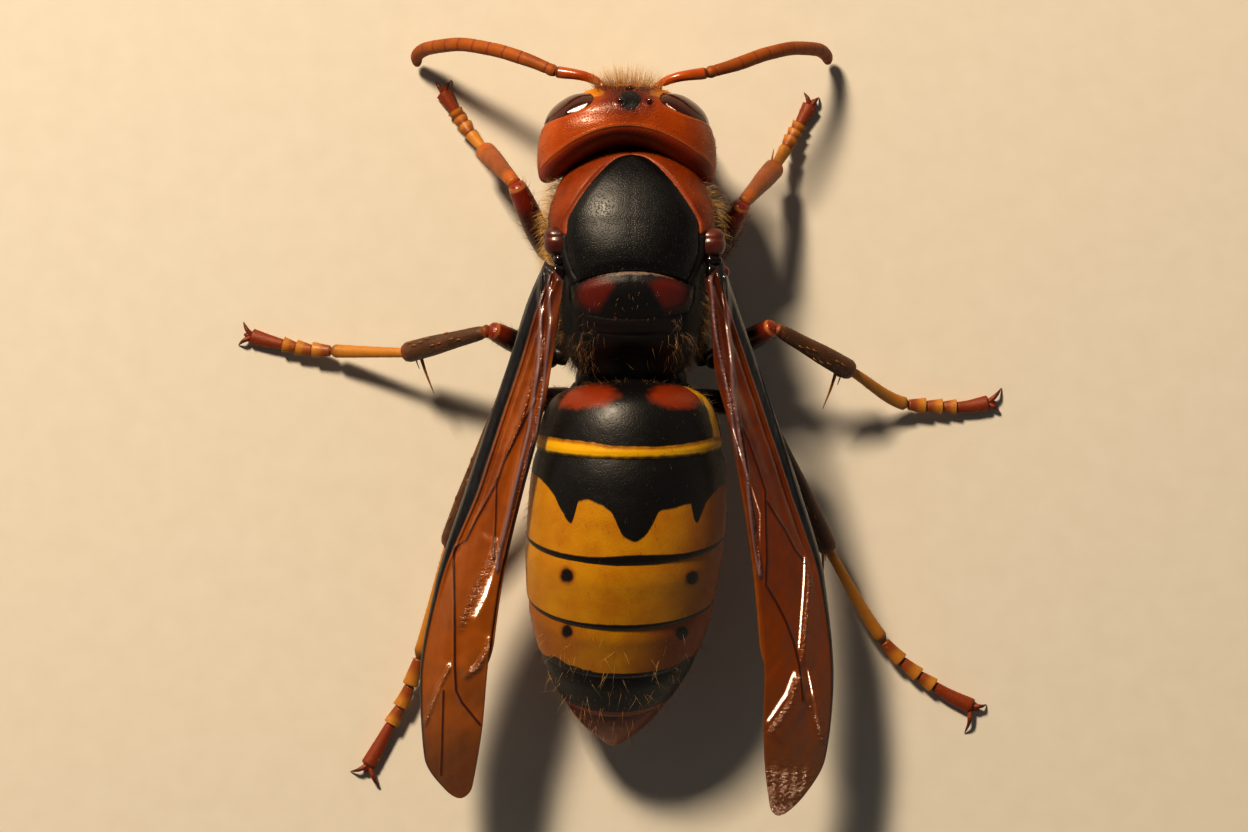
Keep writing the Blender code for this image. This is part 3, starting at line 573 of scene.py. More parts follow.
def makeMandible(name, side):
    # three blunt teeth along the inner edge near the tip
    def teeth(t, angle):
        inner = np.maximum(0, -side * np.cos(angle)) ** 2
        rows = sum(bump(t - at, 0.035) for at in (0.66, 0.78, 0.89))
        return 0.13 * inner * rows - 0.05 * bump(t - 0.12, 0.03)

    path = [(headSizes["middleX"] + side * x, y, z) for x, y, z in mandiblePath]
    jaw = tubeGrid(path, tableProfile(mandibleWidth, 0.8), 80, 40, teeth)
    shape = closedGrid(jaw["points"], {"tip": (jaw["t"] - 0.72) * 2})
    makePiece("mandible_" + name, shape, jawCuticle)


for name, side in sides:
    makeEye(name, side)
for name, side in sides:
    makeMandible(name, side)
print("hornet: head, eyes, ocelli and jaws made")


antennaSizes = {"joints": 10, "pedicel": 0.045, "firstJoint": 1.55, "lastJoint": 1.25}
# the scape's path, then the path of the flagellum from the end of the scape
antennae = {
    "left": (
        [(1.12, -12.2, 6.35), (1.3, -12.42, 6.42), (2.0, -12.7, 6.6), (3.11, -12.88, 6.35)],
        [(4.34, -13.42, 5.9), (5.92, -13.95, 4.9), (7.45, -14.23, 3.6), (8.66, -14.18, 2.0),
         (9.2, -13.85, 0.8), (9.18, -13.52, 0.45)],
    ),
    "right": (
        [(-1.1, -12.15, 6.35), (-1.3, -12.38, 6.42), (-2.1, -12.66, 6.6), (-3.24, -12.83, 6.35)],
        [(-4.43, -13.2, 5.9), (-5.85, -13.76, 4.8), (-7.13, -14.09, 3.4), (-8.05, -14.14, 1.9),
         (-8.5, -13.92, 0.8), (-8.58, -13.62, 0.45)],
    ),
}
scapeCuticle = cuticle("redScapeCuticle", {
    "colour": "#bc5a0a", "deep": "#a04606", "gloss": 0.28, "coat": 0.3, "rough": 0.2,
    "marks": [("darkRing", "#3a1608", 0.03, 0.03)],
})
flagellumCuticle = cuticle("orangeFlagellumCuticle", {
    "colour": "#a65c14", "deep": "#8e480a", "gloss": 0.52, "shine": 0.35, "rough": 0.5, "pit": 0.06,
    "marks": [("jointLine", "#8a4018", 0.03, 0.02)],
})
scapeTable = [
    (0, 0.16), (0.06, 0.2), (0.12, 0.13), (0.2, 0.18), (0.6, 0.22), (0.93, 0.25), (0.985, 0.22), (1, 0.15),
]
flagellumTable = [(0, 0.2), (0.02, 0.26), (0.04, 0.25), (0.06, 0.25), (0.2, 0.29), (0.85, 0.29), (1, 0.22)]

# where each joint of a flagellum ends
shares = np.ones(antennaSizes["joints"])
shares[0], shares[-1] = antennaSizes["firstJoint"], antennaSizes["lastJoint"]
pedicel = antennaSizes["pedicel"]
jointEnds = pedicel + np.concatenate([[0], np.cumsum(shares)]) / shares.sum() * (1 - pedicel)


def flagellumWidth(t):
    nearest = np.abs(t[:, None] - jointEnds[None]).min(1)
    tip = np.sqrt(np.clip(1 - ((t - 0.955) / 0.046) ** 2, 0.02, 1))
    return (smooth(flagellumTable, t) * np.where(t > 0.955, tip, 1) - 0.016 * bump(nearest, 0.0045),) * 2


for name, (scape, flagellum) in antennae.items():
    grid = tubeGrid(scape, tableProfile(scapeTable), 90, 36)
    shape = closedGrid(grid["points"], {"darkRing": 0.02 - np.abs(grid["t"] - 0.96)})
    makePiece("antenna_scape_" + name, shape, scapeCuticle)
    rows = denseRows(260, jointEnds[:-1], -0.008, 0.008, 9)
    grid = tubeGrid([scape[-1]] + flagellum, flagellumWidth, rows, 36, lowest=0.02)
    nearest = np.abs(grid["t"][..., None] - jointEnds).min(-1)
    shape = closedGrid(grid["points"], {"jointLine": (0.005 - nearest) * grid["length"]})
    makePiece("antenna_flagellum_" + name, shape, flagellumCuticle)
print("hornet: antennae made")


midlineTable = [
    (-9.6, -0.07), (-5.0, -0.1), (0.0, -0.03), (5.6, 0.12), (8.1, 0.3), (11.0, 0.44), (16.0, 0.74),
]  # x of the body's middle at each y
# sections: y, half width, underside z, top z
thoraxRows = [
    (-9.6, 0.9, 5.0, 6.9), (-9.4, 1.6, 4.4, 7.45), (-8.85, 2.55, 3.7, 7.95), (-8.0, 3.12, 3.1, 8.5),
    (-6.6, 3.52, 2.6, 9.03), (-5.2, 3.42, 2.4, 9.25), (-3.8, 3.15, 2.4, 9.15), (-2.4, 2.95, 2.6, 8.6),
    (-1.4, 2.8, 3.0, 7.9), (-0.75, 2.5, 3.6, 7.0), (-0.2, 2.05, 4.0, 6.5), (0.12, 1.1, 4.8, 6.1),
]
scutumWidth = [
    (-9.36, 0.0), (-9.28, 0.45), (-9.0, 0.95), (-8.6, 1.4), (-8.14, 1.8), (-7.68, 2.15), (-7.24, 2.44),
    (-6.5, 2.8), (-5.6, 2.85), (-4.45, 2.55), (-4.1, 2.35), (-2.45, 1.95),
]
scutellumWidth = [(-4.5, 2.7), (-3.4, 2.65), (-2.4, 2.1)]
collarEdge = [(-9.6, 4.6), (-8.2, 5.3), (-7.0, 6.1), (-5.95, 7.0)]
thoraxSizes = {
    "square": 2.3, "groove": 0.08, "grooveWidth": 0.06, "scutellumRise": 0.1, "metanotumRise": 0.03,
    "scutumRise": 0.05, "collarRise": 0.02,
}
scutumPlate, scutellumPlate, metanotumPlate, collarPlate, rearPlate, flankPlate = range(6)


def thoraxPlace(q, angle):
    y, halfWidth, low, high = alongRows(thoraxRows, q * (len(thoraxRows) - 1))
    middle = low + 0.6 * (high - low)
    power = 2 / thoraxSizes["square"]
    across = np.sign(np.cos(angle)) * np.abs(np.cos(angle)) ** power
    up = np.sign(np.sin(angle)) * np.abs(np.sin(angle)) ** power
    height = np.where(up > 0, high - middle, middle - low)
    return np.stack([smooth(midlineTable, y) + halfWidth * across, y + 0 * angle, middle + height * up], -1)


# One closed skin: its points, its normals, the plate that owns each point, and the fields for the marks
def makeThorax():
    s = thoraxSizes
    q, angle = np.linspace(0, 1, 330)[:, None], circle(440)[None]
    base = thoraxPlace(q + 0 * angle, angle + 0 * q)
    normals = gridNormals(base)
    x, y, z = np.moveaxis(base, -1, 0)
    off = np.abs(x - smooth(midlineTable, y))
    up = normals[..., 2]
    scutumBack = -4.42 + 0.09 * off ** 2
    scutellumBack = -2.42 - 0.06 * off ** 2
    metanotumBack = -1.75 - 0.05 * off ** 2
    onTop = np.where(z > 6.6, 0, -2)
    scutum = np.minimum((smooth(scutumWidth, y) - off) * 0.9, scutumBack - y) + onTop
    scutellum = np.minimum.reduce([
        smooth(scutellumWidth, y) - off, y - scutumBack, scutellumBack - y]) + onTop
    metanotum = np.minimum.reduce([2.1 - off + 0 * y, y - scutellumBack, metanotumBack - y]) + onTop
    # the collar ends in a lobe that runs back to the tegula, and its lower edge slopes forward
    collarLow = smooth(collarEdge, y)
    collar = np.minimum.reduce([z - collarLow, -5.98 - y, -scutum])
    rear = y - metanotumBack - np.where(off > 2.05, 0.35 * (off - 2.05), 0)
    fields = np.stack([scutum, scutellum, metanotum, collar, rear])
    owner = np.where(fields.max(0) < 0, flankPlate, fields.argmax(0))
    # grooves between the plates, shallow at the front and on the slope behind
    depth = (0.15 + 0.85 * ramp(-9.3, -8.4, y)) * (1 - 0.75 * ramp(-3.4, -2.8, y))
    offset = np.zeros_like(x)
    for field in fields:
        offset -= s["groove"] * bump(field, s["grooveWidth"]) * depth
    offset += s["scutellumRise"] * ramp(0.05, 0.5, scutellum)
    offset += s["metanotumRise"] * ramp(0.03, 0.25, metanotum)
    offset += s["scutumRise"] * ramp(0.05, 0.5, scutum) + s["collarRise"] * ramp(0.0, 0.3, collar)
    # the scutum has a fine middle line in front and two lines beside it, the scutellum one groove
    onScutum = owner == scutumPlate
    offset -= 0.0025 * bump(off, 0.05) * ramp(-5.2, -6.5, y) * onScutum
    offset -= 0.002 * bump(off - 1.35 - 0.04 * (y + 6), 0.07) * ramp(-7.6, -6.6, y) * onScutum
    offset -= 0.02 * bump(off, 0.12) * (owner == scutellumPlate)
    # the rear slopes down in a shallow hollow between two soft shoulders
    offset -= 0.12 * bump(off, 0.5) * ramp(0.2, 0.7, rear)
    # seams on the flank, and the hollow under each wing root
    flank = ramp(0.35, -0.1, up) * (owner == flankPlate)
    offset -= 0.1 * bump((z - 5.4) - 0.35 * (y + 4.5), 0.08) * flank * ramp(-6.9, -6.5, y)
    offset -= 0.09 * bump(y + 3.1 + 0.25 * (z - 5), 0.08) * flank
    offset -= 0.22 * bump(np.hypot((y + 4.2) / 1.3, (z - 7.6) / 0.5), 0.9) * (off > 2.4)
    offset += 0.006 * ripple(base, 1.5, 5)
    redPatch = 0.42 - np.hypot((off - 1.4) / 0.95, (y + 3.45) / 0.85) * 0.5
    values = {
        # innerEdge: a thin pale line on the collar along the scutum's edge, a painted highlight
        "innerEdge": np.where(owner == collarPlate, 0.07 + scutum, -1),
        "hindRim": 0.12 - 0.03 * off ** 2 - (y - scutumBack) + (owner != scutellumPlate) * -2,
        "redPatch": np.minimum(redPatch, 0.8 * off - 0.5 * (y + 3.9) - 0.55),
        "redLine": np.where(owner == metanotumPlate, 0.05 - np.abs(metanotum - 0.2), -1),
        "redFlank": 0.5 - np.hypot((y + 5.2) / 1.3, (z - 6.4) / 0.7) * 0.55,
        "collarFoot": 0.55 - (z - collarLow),
    }
    return base + normals * offset[..., None], normals, owner, values


thoraxSkin, thoraxNormals, thoraxOwner, thoraxValues = makeThorax()
collarCuticle = cuticle("orangeCollarCuticle", {
    "colour": "#903e00", "deep": "#742c00", "gloss": 0.44, "shine": 0.3, "rough": 0.45, "pit": 0.12,
    # innerEdge paints the collar's pale rim line as a painted highlight
    "marks": [("innerEdge", "#a85a3c", 0.04, 0.03), ("collarFoot", "#2c0c04", 0.2, 0.1)],
})
scutumCuticle = cuticle("blackScutumCuticle", {
    "colour": "#0c0a0a", "deep": "#080606", "gloss": 0.38, "shine": 0.4, "rough": 0.42, "pit": 0.075,
    "wave": 0.05,
})
scutellumCuticle = cuticle("blackScutellumCuticle", {
    "colour": "#0c0706", "deep": "#080505", "gloss": 0.46, "rough": 0.4, "pit": 0.08,
    "marks": [("redPatch", "#641602", 0.16, 0.1), ("hindRim", "#8a7466", 0.07, 0.3)],
})
metanotumCuticle = cuticle("blackMetanotumCuticle", {
    "colour": "#0c0706", "deep": "#080504", "gloss": 0.42, "marks": [("redLine", "#280803", 0.12, 0.1)],
})
rearCuticle = cuticle("blackRearCuticle", {
    "colour": "#0d0806", "deep": "#070504", "gloss": 0.5, "rough": 0.6,
})
flankCuticle = cuticle("blackFlankCuticle", {
    "colour": "#0c0706", "deep": "#070404", "gloss": 0.6, "rough": 0.6, "pit": 0.1,
    "marks": [("redFlank", "#4a1205", 0.2, 0.2)],
})
thoraxPieces = [
    ("scutum", scutumCuticle, "back_plates"), ("scutellum", scutellumCuticle, "back_plates"),
    ("metanotum", metanotumCuticle, "back_plates"), ("pronotum", collarCuticle, "collar"),
    ("propodeum", rearCuticle, "thorax_sides"), ("thorax_sides", flankCuticle, "thorax_sides"),
]
thoraxFaces = gridFaces(*thoraxOwner.shape)
faceOwner = thoraxOwner.ravel()[thoraxFaces[:, 0]]
for number, (name, material, slotName) in enumerate(thoraxPieces):
    used, renamed = np.unique(thoraxFaces[faceOwner == number], return_inverse=True)
    values = {key: v.ravel()[used] for key, v in thoraxValues.items()}
    shape = thoraxSkin.reshape(-1, 3)[used], renamed.reshape(-1, 4).tolist(), values
    makePiece(name, shape, material)

tegulaCuticle = cuticle("redTegulaCuticle", {
    "colour": "#662a1a", "deep": "#3c140c", "gloss": 0.34, "coat": 0.6, "coatGloss": 0.3, "rough": 0.4,
    "pit": 0.1,
})
tegulae = {"left": (3.03, -5.72, 7.72), "right": (-3.42, -5.66, 7.58)}
tegulaSizes = {"reach": [0.58, 0.6, 0.46], "square": 2.8, "hollow": 0.08}
# a squarish cap with a crosswise hollow
ways = sphereWays(48, 64)
square = tegulaSizes["square"]
lip = (np.abs(ways[..., :2]) ** square).sum(-1) ** (2 / square) + ways[..., 2] ** 2
hollow = 1 - tegulaSizes["hollow"] * bump(ways[..., 1] + 0.25, 0.16) * (ways[..., 2] > 0)
cap = ways * tegulaSizes["reach"] * (hollow / np.sqrt(lip))[..., None]
for name, spot in tegulae.items():
    makePiece("tegula_" + name, closedGrid(np.array(spot) + cap), tegulaCuticle)

# the wing's hinge: a black knob behind the tegula and a red-brown plate that the veins start from
hingeCuticle = cuticle("blackHingeCuticle", {
    "colour": "#1c0c08", "deep": "#100706", "gloss": 0.2, "coat": 0.6, "coatGloss": 0.1, "rough": 0.2,
    "marks": [("plate", "#5a2418", 0.1, 0.15)],
})
# each lump's place and reach, and 1 for red-brown or -1 for black
hinges = {
    "left": [((2.9, -4.93, 7.75), (0.38, 0.27, 0.26), -1), ((3.41, -4.45, 7.72), (0.28, 0.3, 0.22), 1),
             ((3.02, -4.4, 7.85), (0.3, 0.36, 0.22), -1)],
    "right": [((-3.45, -4.9, 7.65), (0.38, 0.27, 0.26), -1), ((-3.85, -4.42, 7.65), (0.28, 0.3, 0.22), 1),
              ((-3.42, -4.4, 7.8), (0.3, 0.36, 0.22), -1)],
}
for name, lumps in hinges.items():
    parts = []
    for spot, reach, plate in lumps:
        ways = sphereWays(28, 36)
        grid = np.array(spot) + ways * reach * (1 + 0.1 * np.sin(5 * ways[..., :1]))
        parts.append((grid, {"plate": plate * 0.3 + 0.2 * ways[..., 2]}))
    makePiece("wing_hinge_" + name, joinGrids(parts), hingeCuticle, added=True)
print("hornet: thorax made")


# sections: y, z, half width, reach up, reach down, lean in degrees
gasterRows = [
    (-0.15, 5.5, 0.5, 0.45, 0.45, 0), (0.05, 5.5, 0.8, 0.75, 0.75, 0), (0.4, 5.6, 2.5, 2.35, 2.0, 0),
    (0.95, 5.75, 3.35, 3.1, 2.8, 2), (1.9, 5.8, 3.75, 3.4, 3.2, 5), (2.85, 5.8, 3.95, 3.5, 3.35, 8),
    (4.6, 5.7, 4.15, 3.62, 3.5, 14), (6.6, 5.4, 4.22, 3.68, 3.55, 19), (8.0, 5.0, 4.12, 3.55, 3.35, 23),
    (9.15, 4.65, 4.0, 3.38, 3.12, 25), (10.3, 4.25, 3.75, 3.1, 2.85, 26), (11.35, 3.9, 3.42, 2.8, 2.5, 28),
    (12.4, 3.5, 2.95, 2.4, 2.15, 29), (13.4, 3.1, 2.35, 1.95, 1.75, 30), (14.6, 2.6, 1.4, 1.15, 1.05, 31),
    (15.65, 2.15, 0.25, 0.2, 0.2, 31),
]
segmentEnds = [0, 5, 7, 9, 11, 13, 15]
rimSizes = {"step": 0.13, "lip": 0.14, "tuck": 0.35, "edge": 0.05}
# edges of the pattern in plan: (y, x) along the strip down the right side, (x, y) for the others
firstBand = [(-3.6, 2.5), (-2.4, 2.75), (-1.1, 2.88), (0.6, 2.85), (1.6, 2.7), (2.9, 2.55), (3.8, 2.4)]
firstStrip = [(0.1, -2.0), (0.3, -2.5), (0.85, -3.22), (1.8, -3.6), (2.8, -3.76)]
secondDrips = [
    (-4.3, 4.3), (-3.74, 4.59), (-3.53, 4.8), (-3.2, 5.18), (-2.99, 5.68), (-2.79, 6.09), (-2.66, 5.84),
    (-2.54, 5.26), (-1.87, 5.43), (-1.21, 5.59), (-0.96, 6.09), (-0.62, 6.59), (-0.21, 6.84), (0.29, 6.59),
    (0.54, 6.09), (0.79, 5.59), (1.29, 5.26), (1.87, 5.09), (2.16, 5.18), (2.25, 5.51), (2.45, 6.09),
    (2.91, 5.43), (3.16, 4.93), (3.41, 4.59), (3.83, 4.18), (4.4, 3.8),
]
fourthEdge = [
    (-3.2, 11.5), (-2.3, 11.9), (-1.47, 12.32), (0.04, 12.52), (1.21, 12.44), (2.47, 12.07), (3.31, 11.73),
]
# paired spots: x, y, half width, half length
gasterSpots = {
    3: ((2.63, 8.27, 0.25, 0.28), (-2.59, 8.36, 0.24, 0.27)),
    4: ((2.63, 10.63, 0.22, 0.25), (-2.18, 10.72, 0.26, 0.28)),
}


def gasterPlace(place, angle, grow):
    y, z, halfWidth, up, down, lean = alongRows(gasterRows, place)
    lean = np.radians(lean)
    rise = (np.where(np.sin(angle) > 0, up, down) + grow) * np.sin(angle)
    x = smooth(midlineTable, y) + (halfWidth + grow) * np.cos(angle)
    return np.stack([x, y + rise * np.sin(lean), z + rise * np.cos(lean)], -1)


# How far inside each mark of its pattern the points of a segment lie, in millimetres; q is 0 at its front
def gasterFields(number, points, angle, q, length):
    x, y, z = np.moveaxis(points, -1, 0)
    off = x - smooth(midlineTable, y)
    below = np.broadcast_to(np.sin(angle) < -0.35, x.shape)
    toRim, lengthwise = (1 - q) * length, q * length
    # warm turns the yellow orange-brown: towards the sides as its own tint, and as painted shade on the
    # right side and low down
    warm = -1.25 + 0.3 * np.abs(off) - 0.12 * off + 0.5 * ramp(5.0, 3.5, z)
    # rimLine is a dark line along each segment's rear rim: its own dark edge, widened in the middle by
    # painted shadow under the rim
    fields = {
        "black": -1, "spot": -1, "halo": -1, "lemon": -1, "rimLine": 0.07 - toRim, "red": -2, "warm": warm,
    }
    if number == 1:
        band = smooth(firstBand, x) - y
        leftPatch = 1 - np.abs((x - 1.87) / 1.32) ** 2.4 - np.abs((y - 0.66 - 0.06 * x) / 0.5) ** 2
        rightPatch = 1 - np.abs((x + 1.92) / 1.1) ** 2.4 - np.abs((y - 0.7 + 0.05 * x) / 0.5) ** 2
        strip = np.minimum(0.17 - np.abs(x - smooth(firstStrip, y)) * 0.8, (z - 6.3) * 0.3)
        patch = np.maximum.reduce([leftPatch * 0.052, rightPatch * 0.052, strip])
        fields["black"] = np.where(below, 2.35 - y, np.minimum(band, -patch))
        redFront = np.where((y < 1.9) & (strip < -0.1), 0.4, -1)
        fields["red"] = np.maximum(redFront, 0.05 - np.abs(band + 0.05))
        fields["lemon"] = np.where((y > 1.9) | (strip > -0.1), 0.3, -1)
        fields["warm"] = warm - 0.6
        fields["rimLine"] = 0.02 - toRim
    elif number == 2:
        under = 0.5 + 0.9 * ramp(-0.85, -0.35, np.sin(angle)) - lengthwise
        fields["black"] = np.where(below, under, (smooth(secondDrips, x) - y) * 0.6)
        # the rim line widens in the middle as painted shadow
        fields["rimLine"] = 0.2 + 0.17 * bump(off + 0.6, 1.7) - toRim
    elif number in (3, 4):
        fields["spot"] = np.maximum.reduce([
            np.where(below, -1, (1 - np.hypot((x - spotX) / wide, (y - spotY) / long)) * 0.22)
            for spotX, spotY, wide, long in gasterSpots[number]])
        fields["halo"] = fields["spot"] + 0.06
        fields["rimLine"] = 0.19 + 0.08 * bump(off, 2.0) - toRim
        if number == 4:
            ragged = 0.06 * ripple(points * [1, 0.1, 1], 0.5, 8)
            fields["black"] = np.where(below, -1, y - smooth(fourthEdge, x)) + ragged
            fields["warm"] = warm + 0.75
    elif number == 5:
        sideways, back = ramp(-0.3, -0.6, np.sin(angle)), ramp(0.5, 1.0, lengthwise / length)
        fields["black"] = 0.5 - 0.7 * sideways - 0.62 * back
        fields["red"] = 0.3
    else:
        fields.update(black=-0.004 - 0.012 * lengthwise, red=0.3, warm=0.8, rimLine=-1)
    return fields


gasterCuticle = cuticle("yellowGasterCuticle", {
    "colour": "#c48e00", "deep": "#b67a00", "gloss": 0.42, "shine": 0.4, "coat": 0.06, "coatGloss": 0.25,
    "rough": 0.3, "pit": 0.12,
    # warm is an orange-brown tint that is partly painted shade
    "marks": [("lemon", "#e0b008", 0.1, 0.05), ("warm", "#883a02", 0.7, 0.15),
              ("red", "#883200", 0.12, 0.1), ("black", "#100b0a", 0.035, 0.07),
              ("halo", "#8a4a06", 0.12, 0.12), ("spot", "#180b06", 0.05, 0.14),
              ("rimLine", "#150a06", 0.035, 0.04)],
})
gasterSkins = {}
for number in range(1, 7):
    start, end = segmentEnds[number - 1], segmentEnds[number]
    length = gasterRows[end][0] - gasterRows[start][0]
    tuck = rimSizes["tuck"] / length if number > 1 else 0.0
    q = np.linspace(-tuck, 1, 84 if number > 1 else 120)[:, None]
    angle = circle(320)[None]
    inset = 0.0 if number == 1 else rimSizes["step"] * (1 - ramp(-tuck, 0.3, q))
    grow = -inset - rimSizes["edge"] * ramp(0.12, 0.0, (1 - q) * length)
    points = gasterPlace(start + (end - start) * q + 0 * angle, angle, grow)
    # a lip rolls in under the rim, over the next segment
    if number < 6:
        lips = []
        for k in range(1, 6):
            turn = k / 5 * math.pi
            place = start + (end - start) * (1 + 0.04 * math.sin(turn) / length) + 0 * angle
            inwards = rimSizes["lip"] / 2 * (1 - math.cos(turn))
            lips.append(gasterPlace(place, angle, -rimSizes["edge"] - inwards))
        points = np.concatenate([points] + lips)
        q = np.concatenate([q, np.ones((5, 1))])
    fields = gasterFields(number, points, angle, q, length)
    normals = gridNormals(points)
    # the sideways overlap of the upper plate on the lower one
    flap = bump(np.sin(angle) + 0.38, 0.05) * ramp(0.0, 0.2, q)
    points = points - normals * (0.06 * flap)[..., None]
    points = points + normals * (0.006 * ripple(points, 1.6, number))[..., None]
    makePiece("gaster_segment_%d" % number, closedGrid(points, fields), gasterCuticle)
    gasterSkins[number] = (points, normals)
print("hornet: gaster made")


# the edge of each wing from root to tip, as in the part's source: outer points, then inner points
wingEdges = {
    "left": (
        [(3.55, -4.9, 7.5), (4.27, -3.26, 7.3), (5.11, -0.62, 6.8), (6.0, 1.9, 6.2), (6.96, 4.72, 5.6),
         (8.25, 8.8, 5.0), (8.9, 12.8, 4.7), (8.72, 16.0, 4.6), (7.5, 17.86, 4.6)],
        [(2.75, -4.0, 8.3), (2.89, -3.0, 8.2), (3.25, -0.6, 8.0), (3.68, 1.9, 7.8), (4.45, 4.7, 7.3),
         (5.35, 8.6, 6.5), (5.93, 12.7, 5.8), (6.42, 16.0, 5.2), (6.75, 17.7, 4.75)],
    ),
    "right": (
        [(-3.9, -4.85, 7.5), (-4.5, -3.0, 7.3), (-5.35, -0.6, 6.8), (-6.25, 2.0, 6.2), (-7.18, 4.72, 5.6),
         (-8.25, 8.6, 5.15), (-8.62, 12.6, 4.9), (-8.3, 16.0, 4.7), (-7.0, 18.25, 4.6)],
        [(-3.1, -4.05, 8.3), (-3.33, -3.0, 8.2), (-3.5, -0.6, 8.0), (-4.1, 2.0, 7.8), (-4.65, 4.7, 7.3),
         (-5.22, 8.6, 6.5), (-5.55, 12.7, 5.8), (-5.68, 16.1, 5.2), (-6.0, 18.7, 4.75)],
    ),
}
wingSizes = {
    "thickness": 0.09, "lift": 0.22, "camber": 0.25, "hindDrop": 0.16,
    "tipCrease": {"left": 0.12, "right": 0.8},  # how crumpled each wing's tip is
}
# width of the thick dark front edge along the wing
costaTable = {
    "left": [(-5, 0.42), (0, 0.5), (4.5, 0.55), (6.5, 0.42), (8, 0.26), (10, 0.16), (13, 0.1), (17, 0.04)],
    "right": [(-5, 0.35), (0, 0.4), (4.5, 0.42), (6.5, 0.36), (8, 0.24), (10, 0.16), (13, 0.1), (17, 0.04)],
}
# veins in plan: (half width, height, points); each is a thick tube of cuticle in the membrane
wingVeins = {
    "left": [
        (0.085, 0.15, [(3.73, -4.3), (3.73, -2.0), (3.85, -0.33), (4.02, 0.93), (4.23, 2.19),
            (4.57, 3.65), (4.94, 5.12), (5.24, 6.38), (5.53, 7.63), (5.57, 8.05)]),
        (0.07, 0.11, [(3.39, -4.3), (3.35, -2.42), (3.43, -1.16), (3.64, 0.51), (3.89, 2.19),
            (4.18, 3.02), (4.52, 4.7), (4.94, 6.37), (5.23, 7.62)]),
        (0.05, 0.06, [(3.95, 0.93), (4.41, 1.77), (4.83, 2.61), (5.25, 3.45), (5.55, 4.29), (5.88, 4.92),
            (6.47, 5.97), (6.89, 6.81), (7.35, 7.15)]),
        (0.055, 0.06, [(7.39, 7.17), (7.43, 7.68), (7.39, 9.37), (7.39, 11.06), (7.39, 12.12),
            (7.34, 13.17), (7.09, 13.68), (6.75, 14.1), (6.33, 14.61)]),
        (0.04, 0.04, [(5.59, 4.21), (5.63, 5.97), (5.72, 7.66)]),
        (0.05, 0.03, [(7.87, 13.2), (7.91, 14.47), (7.95, 15.74), (8.0, 16.8)]),
    ],
    "right": [
        (0.085, 0.15, [(-4.0, -4.2), (-4.06, -3.47), (-4.19, -1.58), (-4.31, 0.51), (-4.61, 2.61),
            (-4.9, 4.28), (-5.07, 5.96), (-5.19, 7.21), (-5.45, 8.26)]),
        (0.07, 0.11, [(-3.35, -4.2), (-3.43, -3.25), (-3.6, -1.58), (-3.85, -0.32), (-4.18, 0.93),
            (-4.43, 3.02), (-4.64, 5.11), (-4.89, 6.79)]),
        (0.05, 0.06, [(-4.54, 1.77), (-4.95, 2.61), (-5.33, 3.66), (-5.67, 4.71), (-5.71, 5.97),
            (-5.75, 7.64), (-5.71, 8.69)]),
        (0.05, 0.05, [(-5.73, 5.14), (-6.11, 5.77), (-6.53, 6.4), (-6.95, 7.24), (-7.37, 7.75)]),
        (0.05, 0.06, [(-5.74, 8.73), (-6.12, 9.37), (-6.55, 10.21), (-6.88, 11.06), (-7.09, 11.9),
            (-7.18, 12.41), (-7.31, 13.59)]),
    ],
}
# steps in the folded sheet, where it tilts up towards the head: (rise, run, points from front to back)
wingFolds = {
    "left": [
        (0.2, 0.26, [(5.45, 6.6), (5.75, 7.5), (6.27, 8.43), (6.78, 9.65), (7.3, 10.9)]),
        (0.13, 0.13, [(7.5, 12.0), (8.03, 12.98), (8.37, 13.82), (8.75, 14.9)]),
        (0.12, 0.17, [(5.75, 10.8), (6.15, 11.68), (6.41, 12.23), (7.1, 12.7)]),
        (0.1, 0.1, [(3.9, -0.6), (4.44, 1.56), (4.82, 2.4), (5.3, 3.5)]),
        (0.06, 0.09, [(3.6, -2.5), (3.72, 0.5), (4.1, 2.6), (4.75, 4.9), (5.35, 7.2)]),
    ],
    "right": [
        (0.15, 0.13, [(-7.52, 7.7), (-7.56, 8.94), (-7.43, 10.21), (-7.31, 11.48), (-7.15, 12.3)]),
        (0.17, 0.18, [(-7.15, 12.4), (-6.77, 13.69), (-6.35, 14.37), (-5.7, 15.2)]),
        (0.14, 0.2, [(-7.4, 13.2), (-7.83, 14.26), (-8.05, 14.89), (-8.25, 15.6)]),
        (0.1, 0.16, [(-3.45, -4.0), (-3.72, -1.16), (-4.14, 0.7), (-4.4, 2.2)]),
        (0.06, 0.08, [(-4.3, 0.5), (-4.75, 3.2), (-5.2, 6.0), (-5.6, 8.6)]),
    ],
}
